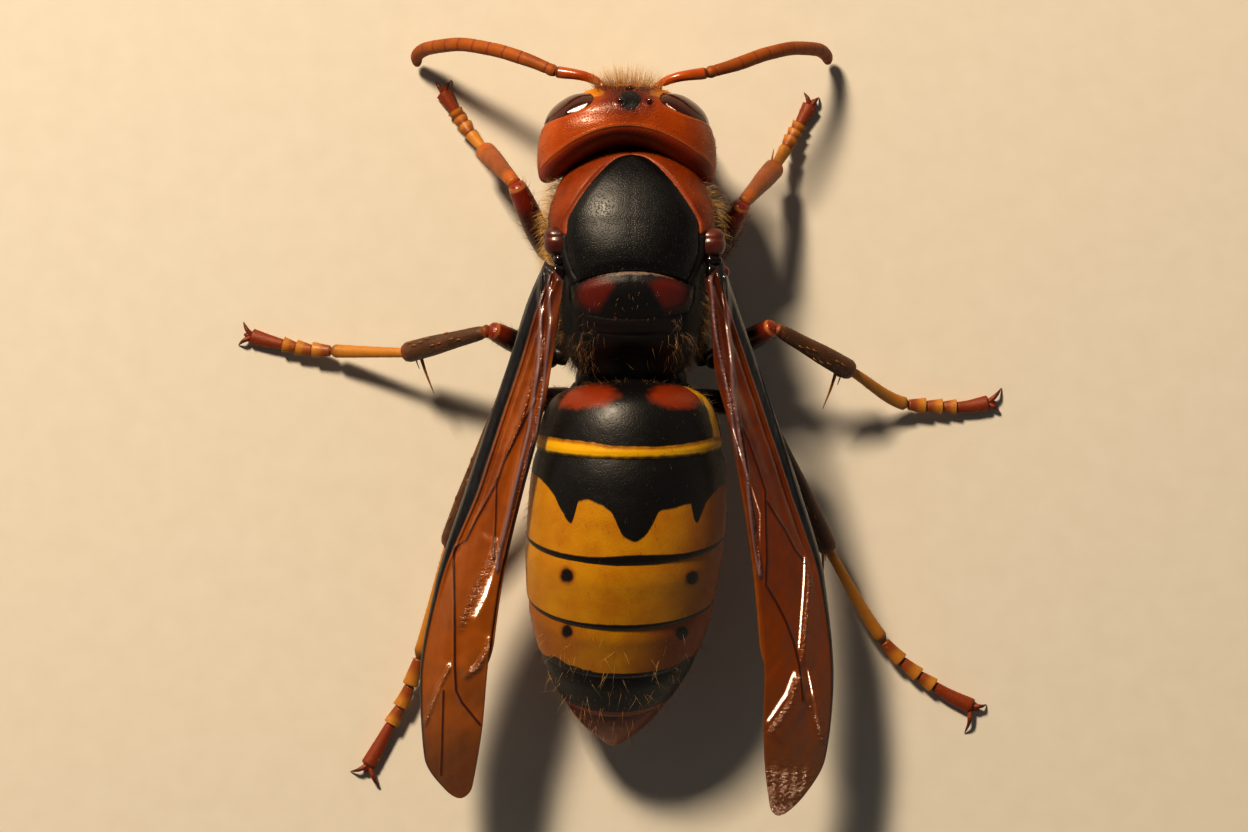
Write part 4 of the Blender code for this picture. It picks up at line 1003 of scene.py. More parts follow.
# places on the wing that flash: (half width in mm, strength, points)
wingStreaks = {
    "left": [
        (0.22, 1.0, [(5.62, 6.8), (5.85, 7.9), (6.2, 9.1), (6.75, 10.3)]),
        (0.1, 1.0, [(5.8, 11.1), (6.25, 11.8), (6.75, 12.4)]),
        (0.07, 0.8, [(7.5, 11.8), (8.03, 12.98), (8.5, 14.4)]),
        (0.035, 0.65, [(3.76, -4.0), (3.72, -1.8), (3.9, 0.4)]),
        (0.03, 0.6, [(3.35, -3.9), (3.3, -2.2), (3.45, -0.6)]),
        (0.03, 0.7, [(3.6, 0.4), (3.95, 2.4), (4.5, 4.6), (5.1, 6.9)]),
        (0.05, 0.6, [(4.35, -2.6), (5.2, 0.0), (6.1, 2.6), (7.1, 5.7)]),
        (0.03, 0.5, [(5.3, 8.0), (5.5, 9.2), (5.7, 10.4)]),
    ],
    "right": [
        (0.06, 1.0, [(-7.36, 7.2), (-7.32, 8.6), (-7.2, 10.2), (-7.08, 11.76)]),
        (0.1, 1.0, [(-7.0, 12.2), (-6.6, 13.3), (-5.66, 14.7)]),
        (0.05, 1.0, [(-7.46, 12.1), (-7.75, 13.6), (-8.02, 15.0)]),
        (0.04, 0.9, [(-4.2, 1.8), (-4.6, 3.15), (-5.45, 5.7), (-5.42, 8.5)]),
        (0.05, 0.8, [(-3.5, -3.9), (-3.75, -2.0), (-4.05, -0.4)]),
        (0.04, 0.8, [(-3.8, -3.8), (-4.05, -1.9), (-4.35, 0.2)]),
        (0.035, 0.7, [(-3.65, -2.6), (-3.9, -0.6), (-4.2, 1.6)]),
        (0.04, 0.5, [(-4.9, -2.2), (-5.6, 0.2), (-6.6, 3.4), (-7.4, 6.2)]),
    ],
}
# A wing is two films of chitin pressed together, clear amber and very glossy, like varnished film.
# paleVein is a pale violet-grey painted over the two thick veins as a painted sheen
membraneLook = {
    "costa": "#1c1a1e", "vein": "#4a1a08", "paleVein": "#8c6a6c", "root": "#3c180e", "front": "#9e5406",
    "frontDeep": "#6c2e06", "rear": "#9e5a10", "tip": "#744624", "gloss": 0.3, "coat": 0.6,
    "coatGloss": 0.15, "wrinkle": 1.0, "alpha": 0.9,
}


def wingPlace(name, u, v, lift):
    outer, inner = wingEdges[name]
    a = np.stack(alongRows(outer, u * (len(outer) - 1)), -1)
    b = np.stack(alongRows(inner, u * (len(inner) - 1)), -1)
    point = a + (b - a) * v[..., None]
    camber = wingSizes["camber"] * np.sin(math.pi * v) * np.minimum(1, np.minimum(4 * u, 4 * (1 - u)))
    point[..., 2] += camber + lift
    return point, a


def membraneMaterial(name, **changes):
    look = dict(membraneLook, **changes)
    material, tree, shader = newMaterial(name, {
        "IOR": 1.56, "Roughness": look["gloss"], "Coat Weight": look["coat"],
        "Coat Roughness": look["coatGloss"], "Alpha": look["alpha"]})
    place = addNode(tree, "TexCoord").outputs["Object"]
    lengthwise = readField(tree, "lengthwise")
    cloud = addNoise(tree, place, 1.6 * millimetre, 4.0)
    # colours from the root to the tip, clouded, and darker in patches on the front half
    colour = addNode(tree, "ValToRGB", {
        "stops": [(0.14, look["root"]), (0.42, look["front"]), (0.62, look["front"]), (0.84, look["rear"]),
                  (1.0, look["tip"])],
        0: addMath(tree, "MULTIPLY_ADD", cloud, 0.25, lengthwise)}).outputs[0]
    patches, front = addRange(tree, cloud, 0.4, 0.62), addRange(tree, lengthwise, 0.75, 0.2)
    darker = addMath(tree, "MULTIPLY", patches, front)
    colour = mixColour(tree, darker, colour, look["frontDeep"])
    # paleVein paints a painted sheen on the thick veins
    for attribute, softness in (("vein", 0.03), ("paleVein", 0.05), ("costa", 0.06)):
        colour = paintOver(tree, colour, readField(tree, attribute), look[attribute], softness)
    tree.links.new(colour, shader.inputs["Base Color"])
    # the film is crinkled across its length, about 0.1 mm by 0.3 mm, most of all towards the tip
    long, short = 1 / (0.3 * millimetre), 1 / (0.14 * millimetre)
    stretched = addNode(tree, "Mapping", {
        "Scale": (long, short, long), "Vector": place}).outputs[0]
    crinkle = addNode(tree, "TexNoise", {
        "Scale": 1.0, "Detail": 3.0, "Roughness": 0.6, "Vector": stretched}).outputs["Fac"]
    # along its folds the stiff film is tipped up towards the head, so that it flashes in long streaks
    share = addNode(tree, "Math", {
        "operation": "MULTIPLY", "use_clamp": True, 0: readField(tree, "tipped"),
        1: addRange(tree, crinkle, 0.26, 0.38)}).outputs[0]
    bumps = addNode(tree, "Bump", {
        "Strength": look["wrinkle"], "Distance": 0.14 * millimetre, "Normal": leaning(tree, share),
        "Height": addMath(tree, "MULTIPLY", crinkle, readField(tree, "crease"))})
    for name in ("Normal", "Coat Normal"):
        tree.links.new(bumps.outputs["Normal"], shader.inputs[name])
    return material


forewingFilms = {
    "left": membraneMaterial("amberForewingFilm"),
    # the right one is painted darker, as painted shade
    "right": membraneMaterial("shadedForewingFilm", front="#843c04", rear="#86440a", frontDeep="#5c2404"),
}
hindwingFilm = membraneMaterial("amberHindwingFilm", front="#94500c", frontDeep="#74380a", costa="#6a3a18",
                                gloss=0.38, wrinkle=0.5)


# The folds, veins and front edge of a forewing: its height, and the fields for its material. width is
# how far each point lies from the outer edge.
def carveWing(name, u, v, base, width, crease):
    xy, y = base[..., :2], base[..., 1]
    # the costa is a thick rolled edge with a glossy groove and ridge along its inner side
    fromEdge = width * 0.95
    costa = smooth(costaTable[name], y) - fromEdge
    height = 0.2 * np.clip(costa, 0, None) ** 0.5 * np.clip(fromEdge / 0.12, 0, 1)
    height += ramp(11, 5, y) * (0.12 * bump(-costa - 0.06, 0.06) - 0.08 * bump(-costa - 0.2, 0.1))
    # long corrugations beside the veins, strongest near the root
    height += 0.06 * np.sin(width / 0.62 * 2 * math.pi) * ramp(9, -2, y) * ramp(0.3, 0.6, width)
    vein, paleVein, tipped = np.full(u.shape, -1.0), np.full(u.shape, -1.0), np.zeros(u.shape)
    for half, tall, line in wingVeins[name]:
        far, _, _ = lineDistance(xy, line)
        height += tall * bump(far, half * 1.3)
        vein = np.maximum(vein, half - far)
        # the two thick veins get a painted sheen
        if tall > 0.1:
            paleVein = np.maximum(paleVein, half * 0.9 - far)
    for tall, run, line in wingFolds[name]:
        far, sign, part = lineDistance(xy, line)
        across = far * sign * (-1 if name == "left" else 1)
        ends = ramp(0, 0.12, part) * ramp(1, 0.85, part)
        height += tall * 0.6 * ends * ramp(-run, run, across) * ramp(run * 6, run, across)
        crease = np.maximum(crease, ends * bump(far, run * 0.8))
    for half, strength, line in wingStreaks[name]:
        far, _, part = lineDistance(xy, line)
        swell = half * (0.55 + 0.45 * np.sin(math.pi * part) ** 0.5)
        ends = ramp(0, 0.1, part) * ramp(1, 0.9, part)
        tipped = np.maximum(tipped, strength * ramp(swell * 1.5, swell * 0.7, far) * ends)
    if name == "right":
        # its crumpled tip glints in patches
        patches = ramp(0.3, 0.62, 0.5 + ripple(base, 0.42, 4))
        tipped = np.maximum(tipped, ramp(0.87, 0.93, u) * ramp(0.06, 0.3, v) * patches)
    return height, {"vein": vein, "paleVein": paleVein, "costa": costa, "crease": crease, "tipped": tipped}


def makeWing(kind, name, rows, columns, vRange, drop, film):
    u = np.asarray(rows)[:, None] + np.zeros((1, columns))
    low, high = [edge[:, None] for edge in vRange(np.asarray(rows))]
    v = low + (high - low) * np.linspace(0, 1, columns)[None]
    base, outerEdge = wingPlace(name, u, v, wingSizes["lift"] - drop)
    width = np.linalg.norm(outerEdge[..., :2] - base[..., :2], axis=-1)
    crease = 0.04 + wingSizes["tipCrease"][name] * ramp(0.84, 0.95, u)
    fields = {"vein": -1, "paleVein": -1, "costa": -1, "crease": crease, "tipped": 0, "lengthwise": u}
    height = 0.03 * ripple(base * [1, 0.35, 1], 0.9, 12)
    if kind == "forewing":
        folds, carved = carveWing(name, u, v, base, width, crease)
        height = folds + height
        fields.update(carved)
    height *= ramp(0, 0.03, u) * ramp(1.0, 0.985, u)
    # a sheet that thins to its edges, with its upper and under side in one ring
    edge = np.minimum(v - low, high - v) / np.maximum(high - low, 1e-6)
    rounded = wingSizes["thickness"] * np.sqrt(np.clip(edge / 0.03, 0.05, 1))
    top, under = base.copy(), base.copy()
    top[..., 2] += height + rounded / 2
    under[..., 2] += height * 0.6 - rounded / 2
    ring = np.concatenate([top, under[:, ::-1]], 1)
    fields = {key: np.broadcast_to(field, u.shape) for key, field in fields.items()}
    shape = closedGrid(ring, {key: np.concatenate([f, f[:, ::-1]], 1) for key, f in fields.items()})
    makePiece(kind + "_" + name, shape, film)


foreEdge = [(0.3, 0.0), (0.5, 1.0), (0.7, 1.0), (0.82, 0.0)]
hindEdge = [(0.06, 0.8), (0.2, 0.92), (0.3, 0.95), (0.5, 1.0), (0.7, 1.0), (0.79, 0.72)]


# Where across the sheet each wing starts and ends, 0 at the outer edge and 1 at the inner one
def foreRange(u):
    tip = 0.5 * (1 - np.sqrt(1 - np.clip((u - 0.955) / 0.045, 0, 0.9995) ** 3.5))
    return tip, 1.0 - 0.05 * smooth(foreEdge, u) - tip


def hindRange(u):
    return 0.3 + 0.1 * u, smooth(hindEdge, u)


foreRows = np.concatenate([np.linspace(0, 0.95, 390), np.linspace(0.952, 1, 60)])
hindRows = np.linspace(0.12, 0.79, 200)
for name, _ in sides:
    makeWing("forewing", name, foreRows, 84, foreRange, 0.0, forewingFilms[name])
    makeWing("hindwing", name, hindRows, 40, hindRange, wingSizes["hindDrop"], hindwingFilm)
print("hornet: wings made")


# each leg: coxa root and tip, knee, ankle, spur, the bends of the foot and the two claw tips
legs = {
    "fore_left": (
        (1.3, -7.6, 3.6), (3.4, -5.1, 2.55), (4.82, -8.2, 4.6), (6.25, -9.82, 1.5), (6.45, -10.45, 1.1),
        [(6.81, -10.52, 0.85), (7.47, -11.45, 0.34), (8.08, -12.42, 0.22)],
        [(7.7, -12.95), (8.42, -12.85)],
    ),
    "fore_right": (
        (-1.4, -7.6, 3.6), (-3.5, -5.0, 2.55), (-4.76, -7.38, 4.6), (-6.25, -9.1, 1.5), (-6.2, -9.9, 1.1),
        [(-6.74, -9.96, 0.85), (-7.28, -10.9, 0.34), (-7.84, -11.86, 0.22)],
        [(-7.55, -12.4), (-8.2, -12.2)],
    ),
    "mid_left": (
        (1.9, -3.4, 3.0), (3.15, -0.7, 2.4), (5.85, -2.04, 4.9), (9.62, -1.1, 2.4), (8.39, 0.65, 2.15),
        [(13.6, -1.25, 0.65), (15.46, -1.6, 0.34), (16.42, -1.86, 0.22)],
        [(16.73, -2.47), (16.95, -1.47)],
    ),
    "mid_right": (
        (-2.1, -3.4, 3.0), (-3.3, -0.65, 2.4), (-6.06, -2.17, 4.9), (-9.46, -0.32, 2.8), (-8.26, 1.3, 2.35),
        [(-12.19, 1.12, 0.65), (-14.36, 1.21, 0.34), (-15.57, 1.04, 0.22)],
        [(-16.1, 0.39), (-16.0, 1.38)],
    ),
    "hind_left": (
        (0.9, -1.2, 3.5), (2.3, 0.75, 2.3), (5.5, 1.13, 4.75), (7.75, 7.15, 2.4), (7.5, 8.5, 1.6),
        [(9.54, 13.35, 0.7), (10.57, 15.38, 0.34), (11.35, 16.8, 0.22)],
        [(12.1, 17.0), (10.8, 17.75)],
    ),
    "hind_right": (
        (-1.0, -1.2, 3.5), (-2.4, 0.8, 2.3), (-5.6, 1.26, 4.75), (-8.53, 7.38, 2.4), (-8.3, 8.75, 1.6),
        [(-11.28, 11.7, 0.75), (-13.54, 13.53, 0.34), (-14.88, 14.22, 0.22)],
        [(-15.45, 14.1), (-14.5, 15.35)],
    ),
}
# half widths along each part; a foot's five joints end at the shares in foreFoot and longFoot
legSizes = {
    "coxa": [(0, 0.68), (0.3, 0.76), (0.62, 0.6), (0.76, 0.44), (0.8, 0.38), (0.84, 0.43), (0.97, 0.42),
             (1, 0.3)],
    "femur": [(0, 0.2), (0.02, 0.33), (0.12, 0.44), (0.4, 0.51), (0.72, 0.47), (0.9, 0.41), (0.965, 0.36),
              (1, 0.16)],
    "tibia": [(0, 0.16), (0.03, 0.29), (0.06, 0.25), (0.12, 0.3), (0.35, 0.35), (0.7, 0.43), (0.93, 0.44),
              (0.985, 0.36), (1, 0.2)],
    "footWide": (0.32, 0.35, 0.35, 0.35, 0.36),
    "foreFoot": (0.36, 0.5, 0.62, 0.73, 1.0),
    "longFoot": (0.5, 0.62, 0.72, 0.8, 1.0),
}
coxaCuticle = cuticle("darkCoxaCuticle", {"colour": "#180b06", "deep": "#0c0705", "gloss": 0.4})
femurCuticle = cuticle("redBrownFemurCuticle", {
    "colour": "#200d07", "deep": "#120806", "gloss": 0.32, "coat": 0.2, "rough": 0.4,
    # joint is a pale band on the upper side of the knee, a painted highlight
    "marks": [("knee", "#7e2806", 0.3, 0.2), ("joint", "#b87038", 0.05, 0.12)],
})
foreFemurCuticle = cuticle("redForeFemurCuticle", {
    "colour": "#551204", "deep": "#360a04", "gloss": 0.3, "coat": 0.2, "rough": 0.4,
    # joint is a pale band on the upper side of the knee, a painted highlight
    "marks": [("knee", "#85260a", 0.5, 0.2), ("joint", "#c07c48", 0.05, 0.12)],
})
tibiaCuticle = cuticle("greyBrownTibiaCuticle", {
    "colour": "#644023", "deep": "#4a2e17", "gloss": 0.46, "pit": 0.06,
    "marks": [("ends", "#84420f", 0.2, 0.2), ("spur", "#9c6428", 0.05, 0.0)],
})
foreTibiaCuticle = cuticle("tanForeTibiaCuticle", {
    "colour": "#9c5a2a", "deep": "#82451c", "gloss": 0.42,
    "marks": [("ends", "#b0621a", 0.3, 0.2), ("spur", "#a86a2c", 0.05, 0.0)],
})
footCuticle = cuticle("yellowFootCuticle", {
    "colour": "#aa6412", "deep": "#8e4c08", "gloss": 0.44, "pit": 0.06,
    "marks": [("lobes", "#c08428", 0.25, 0.25), ("rust", "#8a3806", 0.3, 0.25),
              ("claw", "#642409", 0.06, 0.05), ("gapLine", "#4a1c08", 0.04, 0.03)],
})
dice = np.random.default_rng(41)  # places the short spines
up = np.array([0, 0, 1])


def coneGrid(path, width, rows=14, columns=10):
    return tubeGrid(path, lambda t: (width * (1 - t) ** 0.8 + 0.012,) * 2, rows, columns)["points"]


def tibiaParts(grid, knee, ankle, spur, fore):
    shin = unit(ankle - knee)
    ends = np.maximum(0.28 - grid["t"] * grid["length"], 0.22 - (1 - grid["t"]) * grid["length"])
    cones = []
    # two movable spurs at the ankle, one on a foreleg, and a row of short spines towards the end
    spurRoot = ankle - shin * 0.72
    spurs = [(spurRoot, spur, 0.075)]
    if not fore:
        second = spurRoot + (spur - spurRoot) * 0.4 + shin * 0.3
        second[2] = max(second[2], 0.3)
        spurs.append((spurRoot + shin * 0.2, second, 0.035))
    for start, end, width in spurs:
        cones.append(coneGrid([start, (start + end) / 2 + shin * 0.05 - up * 0.05, end], width))
    aside = unit(np.cross(shin, up))
    for k in range(0 if fore else 9):
        row = int((0.3 + 0.07 * k) * (len(grid["points"]) - 1))
        root = grid["points"][row, int(grid["points"].shape[1] * dice.uniform(0.02, 0.3))]
        cones.append(coneGrid([root - 0.02 * shin, root + 0.1 * shin + aside * 0.02 + up * 0.05,
                               root + 0.22 * shin + up * 0.06], 0.03, 6, 6))
    return [(grid["points"], {"ends": ends + 0.5 if fore else ends, "spur": -1})] + [
        (cone, {"ends": -1, "spur": 1}) for cone in cones]


# The joint of a foot that each place is in, and the share of that joint that lies before it
def footJoint(t, ends):
    number = np.clip(np.searchsorted(ends, t), 0, 4)
    starts = np.array((0.0,) + ends[:-1])
    return number, (t - starts[number]) / (np.array(ends) - starts)[number]


# Five tarsomeres that widen to lobed ends, then the claws and the pad between them
def footParts(grid, foot, claws, ends):
    number, q = footJoint(grid["t"], ends)
    lobes = np.where((number > 0) & (number < 4), 0.35 - np.abs(q - 0.75) * 1.2, -0.5)
    lobes = np.where(number == 0, 0.15, lobes)
    rust = np.where(number == 4, 0.4, np.where(number == 0, -0.6 + 0.4 * q, 0.05 - 0.3 * q))
    parts = [(grid["points"], {"lobes": lobes, "rust": rust, "claw": -1, "gapLine": 0.02 - (1 - q) * 0.4})]
    before, end = np.array(foot[-2:], float)
    for x, y in claws:
        start, hook = end + (before - end) * 0.1, np.array([x, y, 0.04])
        claw = coneGrid([start, end + (hook - end) * 0.5 + up * 0.22, hook], 0.13, 24, 14)
        reach = np.linspace(-0.1, 1, 24)[:, None]
        parts.append((claw, {"lobes": -1, "rust": 1, "claw": reach - 0.35, "gapLine": -1}))
    way = unit(end - before)
    padEnd = end + way * 0.3
    pad = coneGrid([end - way * 0.05, (end + padEnd) / 2 + up * 0.05, padEnd * [1, 1, 0.3]], 0.15, 16, 16)
    return parts + [(pad, {"lobes": 1, "rust": -1, "claw": 0.05, "gapLine": -1})]


def footProfile(ends, flatness):
    def profile(t):
        number, q = footJoint(t, ends)
        q = np.clip(q, 0, 1)
        wide = np.array(legSizes["footWide"])[number]
        first = np.where(number == 0, 0.2, 0.22)
        width = first + (wide - first) * np.where(number == 0, q ** 1.2 * 0.8, q ** 0.9)
        width = width * np.sqrt(np.clip((1 - q) / 0.07, 0.25, 1))
        return width, width * flatness
    return profile


legSkins = {}
for legName, (root, tip, knee, ankle, spur, foot, claws) in legs.items():
    root, tip, knee, ankle, spur = np.array([root, tip, knee, ankle, spur], float)
    fore = legName.startswith("fore")
    node = "leg_%s_" % legName
    thigh, shin = unit(knee - tip), unit(ankle - knee)

    # the coxa, with the trochanter as a ring at its tip
    grid = tubeGrid([root, tip], tableProfile(legSizes["coxa"], 0.95), 70, 36)
    makePiece(node + "coxa", closedGrid(grid["points"]), coxaCuticle)

    path = [tip + thigh * 0.12, tip + (knee - tip) * 0.5 + up * 0.12, knee + thigh * 0.12]
    grid = tubeGrid(path, tableProfile(legSizes["femur"]), 110, 40)
    toKnee = (1 - grid["t"]) * grid["length"]
    # joint: a band near the knee on its upper half only, painted pale as a painted highlight
    joint = 0.07 - np.abs(toKnee - 0.2) - 0.1 * (grid["angle"] > math.pi)
    shape = closedGrid(grid["points"], {"knee": (1.25 if fore else 0.75) - toKnee, "joint": joint})
    makePiece(node + "femur", shape, foreFemurCuticle if fore else femurCuticle)
    legSkins[legName, "femur"] = grid

    path = [knee + shin * 0.1, knee + (ankle - knee) * 0.5 + up * 0.1, ankle + shin * 0.05]
    grid = tubeGrid(path, tableProfile(legSizes["tibia"], 0.95), 120, 40)
    shape = joinGrids(tibiaParts(grid, knee, ankle, spur, fore))
    makePiece(node + "tibia", shape, foreTibiaCuticle if fore else tibiaCuticle)
    legSkins[legName, "tibia"] = grid

    ends = legSizes["foreFoot" if fore else "longFoot"]
    rows = denseRows(150, ends, -0.012, 0.006, 10)
    grid = tubeGrid([ankle - shin * 0.02] + foot, footProfile(ends, 0.85 if fore else 0.8), rows, 32)
    makePiece(node + "tarsus", joinGrids(footParts(grid, foot, claws, ends)), footCuticle)
    legSkins[legName, "tarsus"] = grid
print("hornet: legs made")


# A hornet's hair is thin tapered chitin, pale gold where light comes through it, dark on the black plates.
def hairMaterial(name, look):
    material, tree, shader = newMaterial(name, {
        "IOR": 1.56, "Roughness": look["gloss"], "Sheen Weight": 0.3, "Specular IOR Level": 0.6})
    tone = readField(tree, "tone")
    colour = addNode(tree, "ValToRGB", {"stops": look["stops"], 0: tone}).outputs[0]
    tree.links.new(colour, shader.inputs["Base Color"])
    return material


goldHair = hairMaterial("goldHair", {
    "gloss": 0.35, "stops": [(0.0, "#140b06"), (1.0, "#e0b468"), (0.35, "#4a2a10"), (0.7, "#a06a28")]})


# Picks places on a grid of points, more where weight is more
def scatter(skin, normals, weight, count, draw):
    across = np.linalg.norm(np.roll(skin, -1, 1) - skin, axis=-1)[:-1]
    along = np.linalg.norm(skin[1:] - skin[:-1], axis=-1)
    area = (across * along * np.clip(weight[:-1], 0, None)).ravel()
    picks = np.searchsorted(np.cumsum(area) / area.sum(), draw.uniform(size=count))
    r, c = np.divmod(np.clip(picks, 0, len(area) - 1), skin.shape[1])
    n = (c + 1) % skin.shape[1]
    a, b = draw.uniform(size=(2, count, 1))
    near, far = skin[r, c] * (1 - a) + skin[r + 1, c] * a, skin[r, n] * (1 - a) + skin[r + 1, n] * a
    spots = near * (1 - b) + far * b
    uv = np.stack([(c + b[:, 0]) / skin.shape[1], (r + a[:, 0]) / skin.shape[0]], 1)
    return {"spots": spots, "normals": normals[r, c], "lie": unit(skin[r + 1, c] - skin[r, c]), "uv": uv}


hairRings = (0.0, 0.4, 0.75)  # shares of a hair's length that have a ring of three points


# Solid hairs: three-sided, bent over from the root towards the lie of the coat, with a fine tip
def growHairs(groups, draw):
    points, uvs, tones, faces, start = [], [], [], [], 0
    corners, rings = range(3), len(hairRings)
    each = 3 * rings + 1
    quads = np.array([(ring + k, ring + (k + 1) % 3, ring + 3 + (k + 1) % 3, ring + 3 + k)
                      for ring in range(0, 3 * rings - 3, 3) for k in corners])
    last = 3 * rings - 3
    tips = np.array([(last + k, last + (k + 1) % 3, each - 1) for k in corners] + [(2, 1, 0)])
    patch = np.array([(s, k / 3) for s in hairRings for k in corners] + [(1.0, 0.5)]) * 0.003
    for group in groups:
        spots, normals, lie = group["spots"], group["normals"], group["lie"]
        count = len(spots)
        stand = (group["stand"] * draw.uniform(0.75, 1.25, count))[:, None]
        drift = draw.normal(size=(count, 3)) * group.get("mess", 0.18)
        root = unit(normals * stand + lie * (1 - stand) + drift)
        end = unit(normals * stand * 0.35 + lie + drift * 1.3 + np.array([0, 0, -0.1]))
        long = (group["length"] * draw.uniform(0.6, 1.25, count))[:, None]
        wide = (group["width"] * draw.uniform(0.8, 1.2, count))[:, None]
        sideways = unit(np.cross(root, normals + [0.01, 0.02, 0.0]))
        other = np.cross(root, sideways)
        blocks = []
        for s in hairRings:
            centre = spots - normals * 0.02 + long * (root * s + (end - root) * s * s / 2)
            for k in corners:
                turn = 2 * math.pi * k / 3
                aside = sideways * math.cos(turn) + other * math.sin(turn)
                blocks.append(centre + wide * (1 - s ** 1.4) / 2 * aside)
        blocks.append(spots + long * (root + (end - root) / 2))
        block = np.stack(blocks, 1)
        block[..., 2] = np.maximum(block[..., 2], 0.01)
        points.append(block.reshape(-1, 3))
        uvs.append((group["uv"][:, None] * 0.99 + patch[None]).reshape(-1, 2))
        tones.append(np.repeat(np.clip(group["tone"] + draw.normal(size=count) * 0.1, 0, 1), each))
        offsets = start + np.arange(count)[:, None, None] * each
        faces += (quads[None] + offsets).reshape(-1, 4).tolist()
        faces += (tips[None] + offsets).reshape(-1, 3).tolist()
        start += count * each
    return np.concatenate(points), faces, {"tone": np.concatenate(tones)}, np.concatenate(uvs)


# How many tufts, their length and width in mm, how upright they stand, how pale they are, how untidy
coatSizes = {
    "thoraxFlank": {"count": 2600, "length": 1.0, "width": 0.016, "stand": 0.95, "tone": 1.0, "mess": 0.22},
    "thoraxTop": {"count": 900, "length": 0.13, "width": 0.012, "stand": 0.5, "tone": 0.3},
    "scutellum": {"count": 40, "length": 0.28, "width": 0.015, "stand": 0.6, "tone": 0.7, "mess": 0.3},
    "rear": {"count": 760, "length": 0.75, "width": 0.015, "stand": 0.8, "tone": 0.62, "mess": 0.3},
    "collar": {"count": 500, "length": 0.13, "width": 0.012, "stand": 0.5, "tone": 0.8},
    "head": {"count": 1300, "length": 0.15, "width": 0.012, "stand": 0.9, "tone": 0.75, "mess": 0.25},
    "face": {"count": 760, "length": 0.95, "width": 0.011, "stand": 0.95, "tone": 1.0, "mess": 0.12},
    "gasterTop": {"length": 0.2, "width": 0.012, "stand": 0.35},
    "gasterTail": {"length": 1.0, "width": 0.014, "stand": 0.6, "tone": 0.85, "mess": 0.3},
    "gasterSide": {"length": 0.35, "width": 0.014, "stand": 0.7, "tone": 0.85, "mess": 0.3},
    "foreFemur": {"count": 300, "length": 0.45, "width": 0.013, "stand": 0.6, "tone": 0.75},
    "femur": {"count": 300, "length": 0.28, "width": 0.013, "stand": 0.6, "tone": 0.75},
    "tibia": {"count": 650, "length": 0.14, "width": 0.013, "stand": 0.3, "tone": 0.72},
    "tarsus": {"count": 650, "length": 0.13, "width": 0.013, "stand": 0.4, "tone": 0.7},
}


def coatGroup(size, skin, normals, weight, draw, **changes):
    look = dict(coatSizes[size], **changes)
    return dict(scatter(skin, normals, weight, look["count"], draw), **look)


draw = np.random.default_rng(7)  # places and bends the hairs
x, y, z = np.moveaxis(thoraxSkin, -1, 0)
off = np.abs(x - smooth(midlineTable, y))
upward = thoraxNormals[..., 2]
onFlank, onCollar, onRear, onMetanotum, onScutum, onScutellum = [
    (thoraxOwner == plate) * 1.0
    for plate in (flankPlate, collarPlate, rearPlate, metanotumPlate, scutumPlate, scutellumPlate)]
thoraxWeights = {
    "thoraxFlank": (onFlank + onCollar * 0.5) * ramp(-0.7, 0.0, upward) * ramp(0.42, 0.1, upward),
    "rear": (onRear * (0.03 + ramp(1.3, 2.0, off)) * ramp(-0.3, -0.6, y)
             + onMetanotum * ramp(1.2, 2.0, off) * 0.3),
    "collar": onCollar * ramp(0.0, 0.5, upward),
    "thoraxTop": onScutum,
    "scutellum": onScutellum,
}
groups = [
    coatGroup(size, thoraxSkin, thoraxNormals, weight, draw) for size, weight in thoraxWeights.items()]
makePiece("thorax_hair", growHairs(groups, draw), goldHair, added=True)

x, y, z = headSkin.T
eye = eyeDistance(headSkin - [headSizes["middleX"], 0, 0])
bare = np.where((eye > 0.3) & (z > 2.9) & (pastRidge(x - headSizes["middleX"], y) < 0.1), 1.0, 0.0)
fringe = ramp(-11.85, -12.05, y) * (np.abs(x - 0.1) < 1.3) * ramp(5.2, 6.0, z) * ramp(8.2, 7.9, z)
groups = []
for size, weight in (("head", bare * (0.3 + ramp(5.0, 3.5, z))), ("face", bare * fringe)):
    picks = draw.choice(len(headSkin), coatSizes[size]["count"], p=weight / weight.sum())
    around = np.arctan2(headNormals[picks, 0], -headNormals[picks, 1]) / (2 * math.pi) + 0.5
    rise = headNormals[picks, 2] * 0.5 + 0.5
    lie = np.tile([0.0, -0.6, 0.15], (len(picks), 1))  # hair on the head lies forwards and up
    groups.append(dict(coatSizes[size], spots=headSkin[picks], normals=headNormals[picks], lie=lie,
                       uv=np.stack([around, rise], 1) * 0.99))
makePiece("head_hair", growHairs(groups, draw), goldHair, added=True)

# tufts on each segment: on its top, towards the tail, and on the flanks near the waist
topCounts = {1: 420, 2: 420, 3: 420, 4: 420, 5: 260, 6: 260}
tailCounts = {4: 40, 5: 90, 6: 80}
sideCounts = {1: 420, 2: 120}
groups = []
for number, (skin, normals) in gasterSkins.items():
    y = skin[..., 1]
    shown = np.ones(y.shape)
    shown[:12 if number > 1 else 2] = 0
    shown[-8:] = 0
    groups.append(coatGroup("gasterTop", skin, normals, shown, draw, count=topCounts[number],
                            tone=0.35 if number in (1, 2) else 0.6))
    if number in tailCounts:
        tail = shown * ramp(9.5, 12.5, y)
        groups.append(coatGroup("gasterTail", skin, normals, tail, draw, count=tailCounts[number]))
    if number in sideCounts:
        side = ramp(0.35, -0.1, normals[..., 2]) * shown * (ramp(3.4, 0.0, y) if number == 1 else 0.35)
        groups.append(coatGroup("gasterSide", skin, normals, side, draw, count=sideCounts[number]))
makePiece("gaster_hair", growHairs(groups, draw), goldHair, added=True)

groups = []
for (legName, part), grid in legSkins.items():
    weight = ramp(0, 0.05, grid["t"]) * ramp(1.0, 0.95, grid["t"])
    size = "foreFemur" if part == "femur" and legName.startswith("fore") else part
    groups.append(coatGroup(size, grid["points"], gridNormals(grid["points"]), weight, draw))
makePiece("leg_hair", growHairs(groups, draw), goldHair, added=True)
print("hornet: hair made")


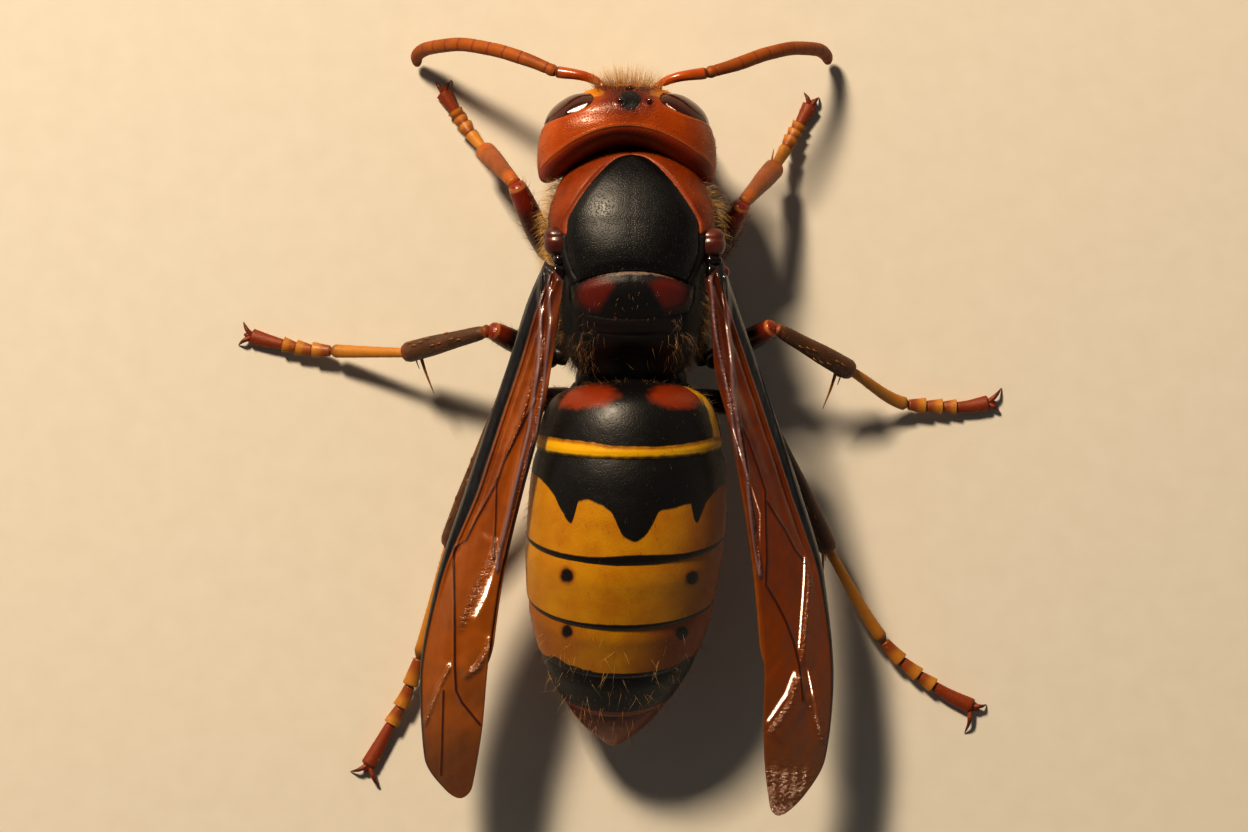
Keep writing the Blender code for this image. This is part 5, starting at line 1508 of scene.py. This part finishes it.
studio = {
    "horizon": 0.3, "zenith": 0.04, "keyPower": 1.15, "keySize": 0.05, "fillPower": 0.02, "fillSize": 0.25,
}
floorMaterial, floorTree, floorShader = newMaterial("paleStudioFloor", {"Roughness": 0.75})
floorPlace = addNode(floorTree, "TexCoord").outputs["Object"]
grain = addNoise(floorTree, floorPlace, 1 / 900, 3.0)
tint = mixColour(floorTree, grain, "#d9d3c8", "#e0dbd2")
floorTree.links.new(tint, floorShader.inputs["Base Color"])
floorMesh = bpy.data.meshes.new("floor")
floorMesh.from_pydata([(-1.5, -1.5, 0), (1.5, -1.5, 0), (1.5, 1.5, 0), (-1.5, 1.5, 0)], [], [(0, 1, 2, 3)])
floorMesh.materials.append(floorMaterial)
floor = bpy.data.objects.new("floor", floorMesh)
bpy.context.scene.collection.objects.link(floor)

# a pale room whose ceiling, above the camera, is dark, so that upward faces keep their depth
world = bpy.data.worlds.new("studioWorld")
bpy.context.scene.world = world
world.use_nodes = True
background = world.node_tree.nodes["Background"]
background.inputs[0].default_value = linearColour("#f2ece0")
direction = addNode(world.node_tree, "TexCoord").outputs["Generated"]
upward = addNode(world.node_tree, "SeparateXYZ", {0: direction}).outputs[2]
room = addRange(world.node_tree, upward, 0.1, 0.75, studio["horizon"], studio["zenith"])
world.node_tree.links.new(room, background.inputs[1])


def areaLight(name, place, power, size, colour):
    light = bpy.data.lights.new(name, "AREA")
    light.energy = power
    light.size = size
    light.color = linearColour(colour)[:3]
    lamp = bpy.data.objects.new(name, light)
    lamp.location = place
    lamp.rotation_euler = Vector([-c for c in place]).to_track_quat("-Z", "Y").to_euler()
    bpy.context.scene.collection.objects.link(lamp)


areaLight("keyLight", (0.114, -0.195, 0.226), studio["keyPower"], studio["keySize"], "#ffecd0")
areaLight("fillLight", (-0.22, 0.16, 0.22), studio["fillPower"], studio["fillSize"], "#eaf0ff")

camera = bpy.data.objects.new("camera", bpy.data.cameras.new("camera"))
camera.data.sensor_width = 36.0
camera.data.lens = 146.5
camera.data.clip_start = 0.01
camera.data.clip_end = 10.0
camera.location = (-0.00017, -0.00042, 0.22)
camera.rotation_euler = (0.0, 0.0, math.pi)
bpy.context.scene.collection.objects.link(camera)
bpy.context.scene.camera = camera
# a little more contrast than a plain display, as a camera gives in sunlight
viewSettings = bpy.context.scene.view_settings
viewSettings.view_transform = "Standard"
viewSettings.look = "None"
viewSettings.exposure = 0.38
viewSettings.gamma = 0.78
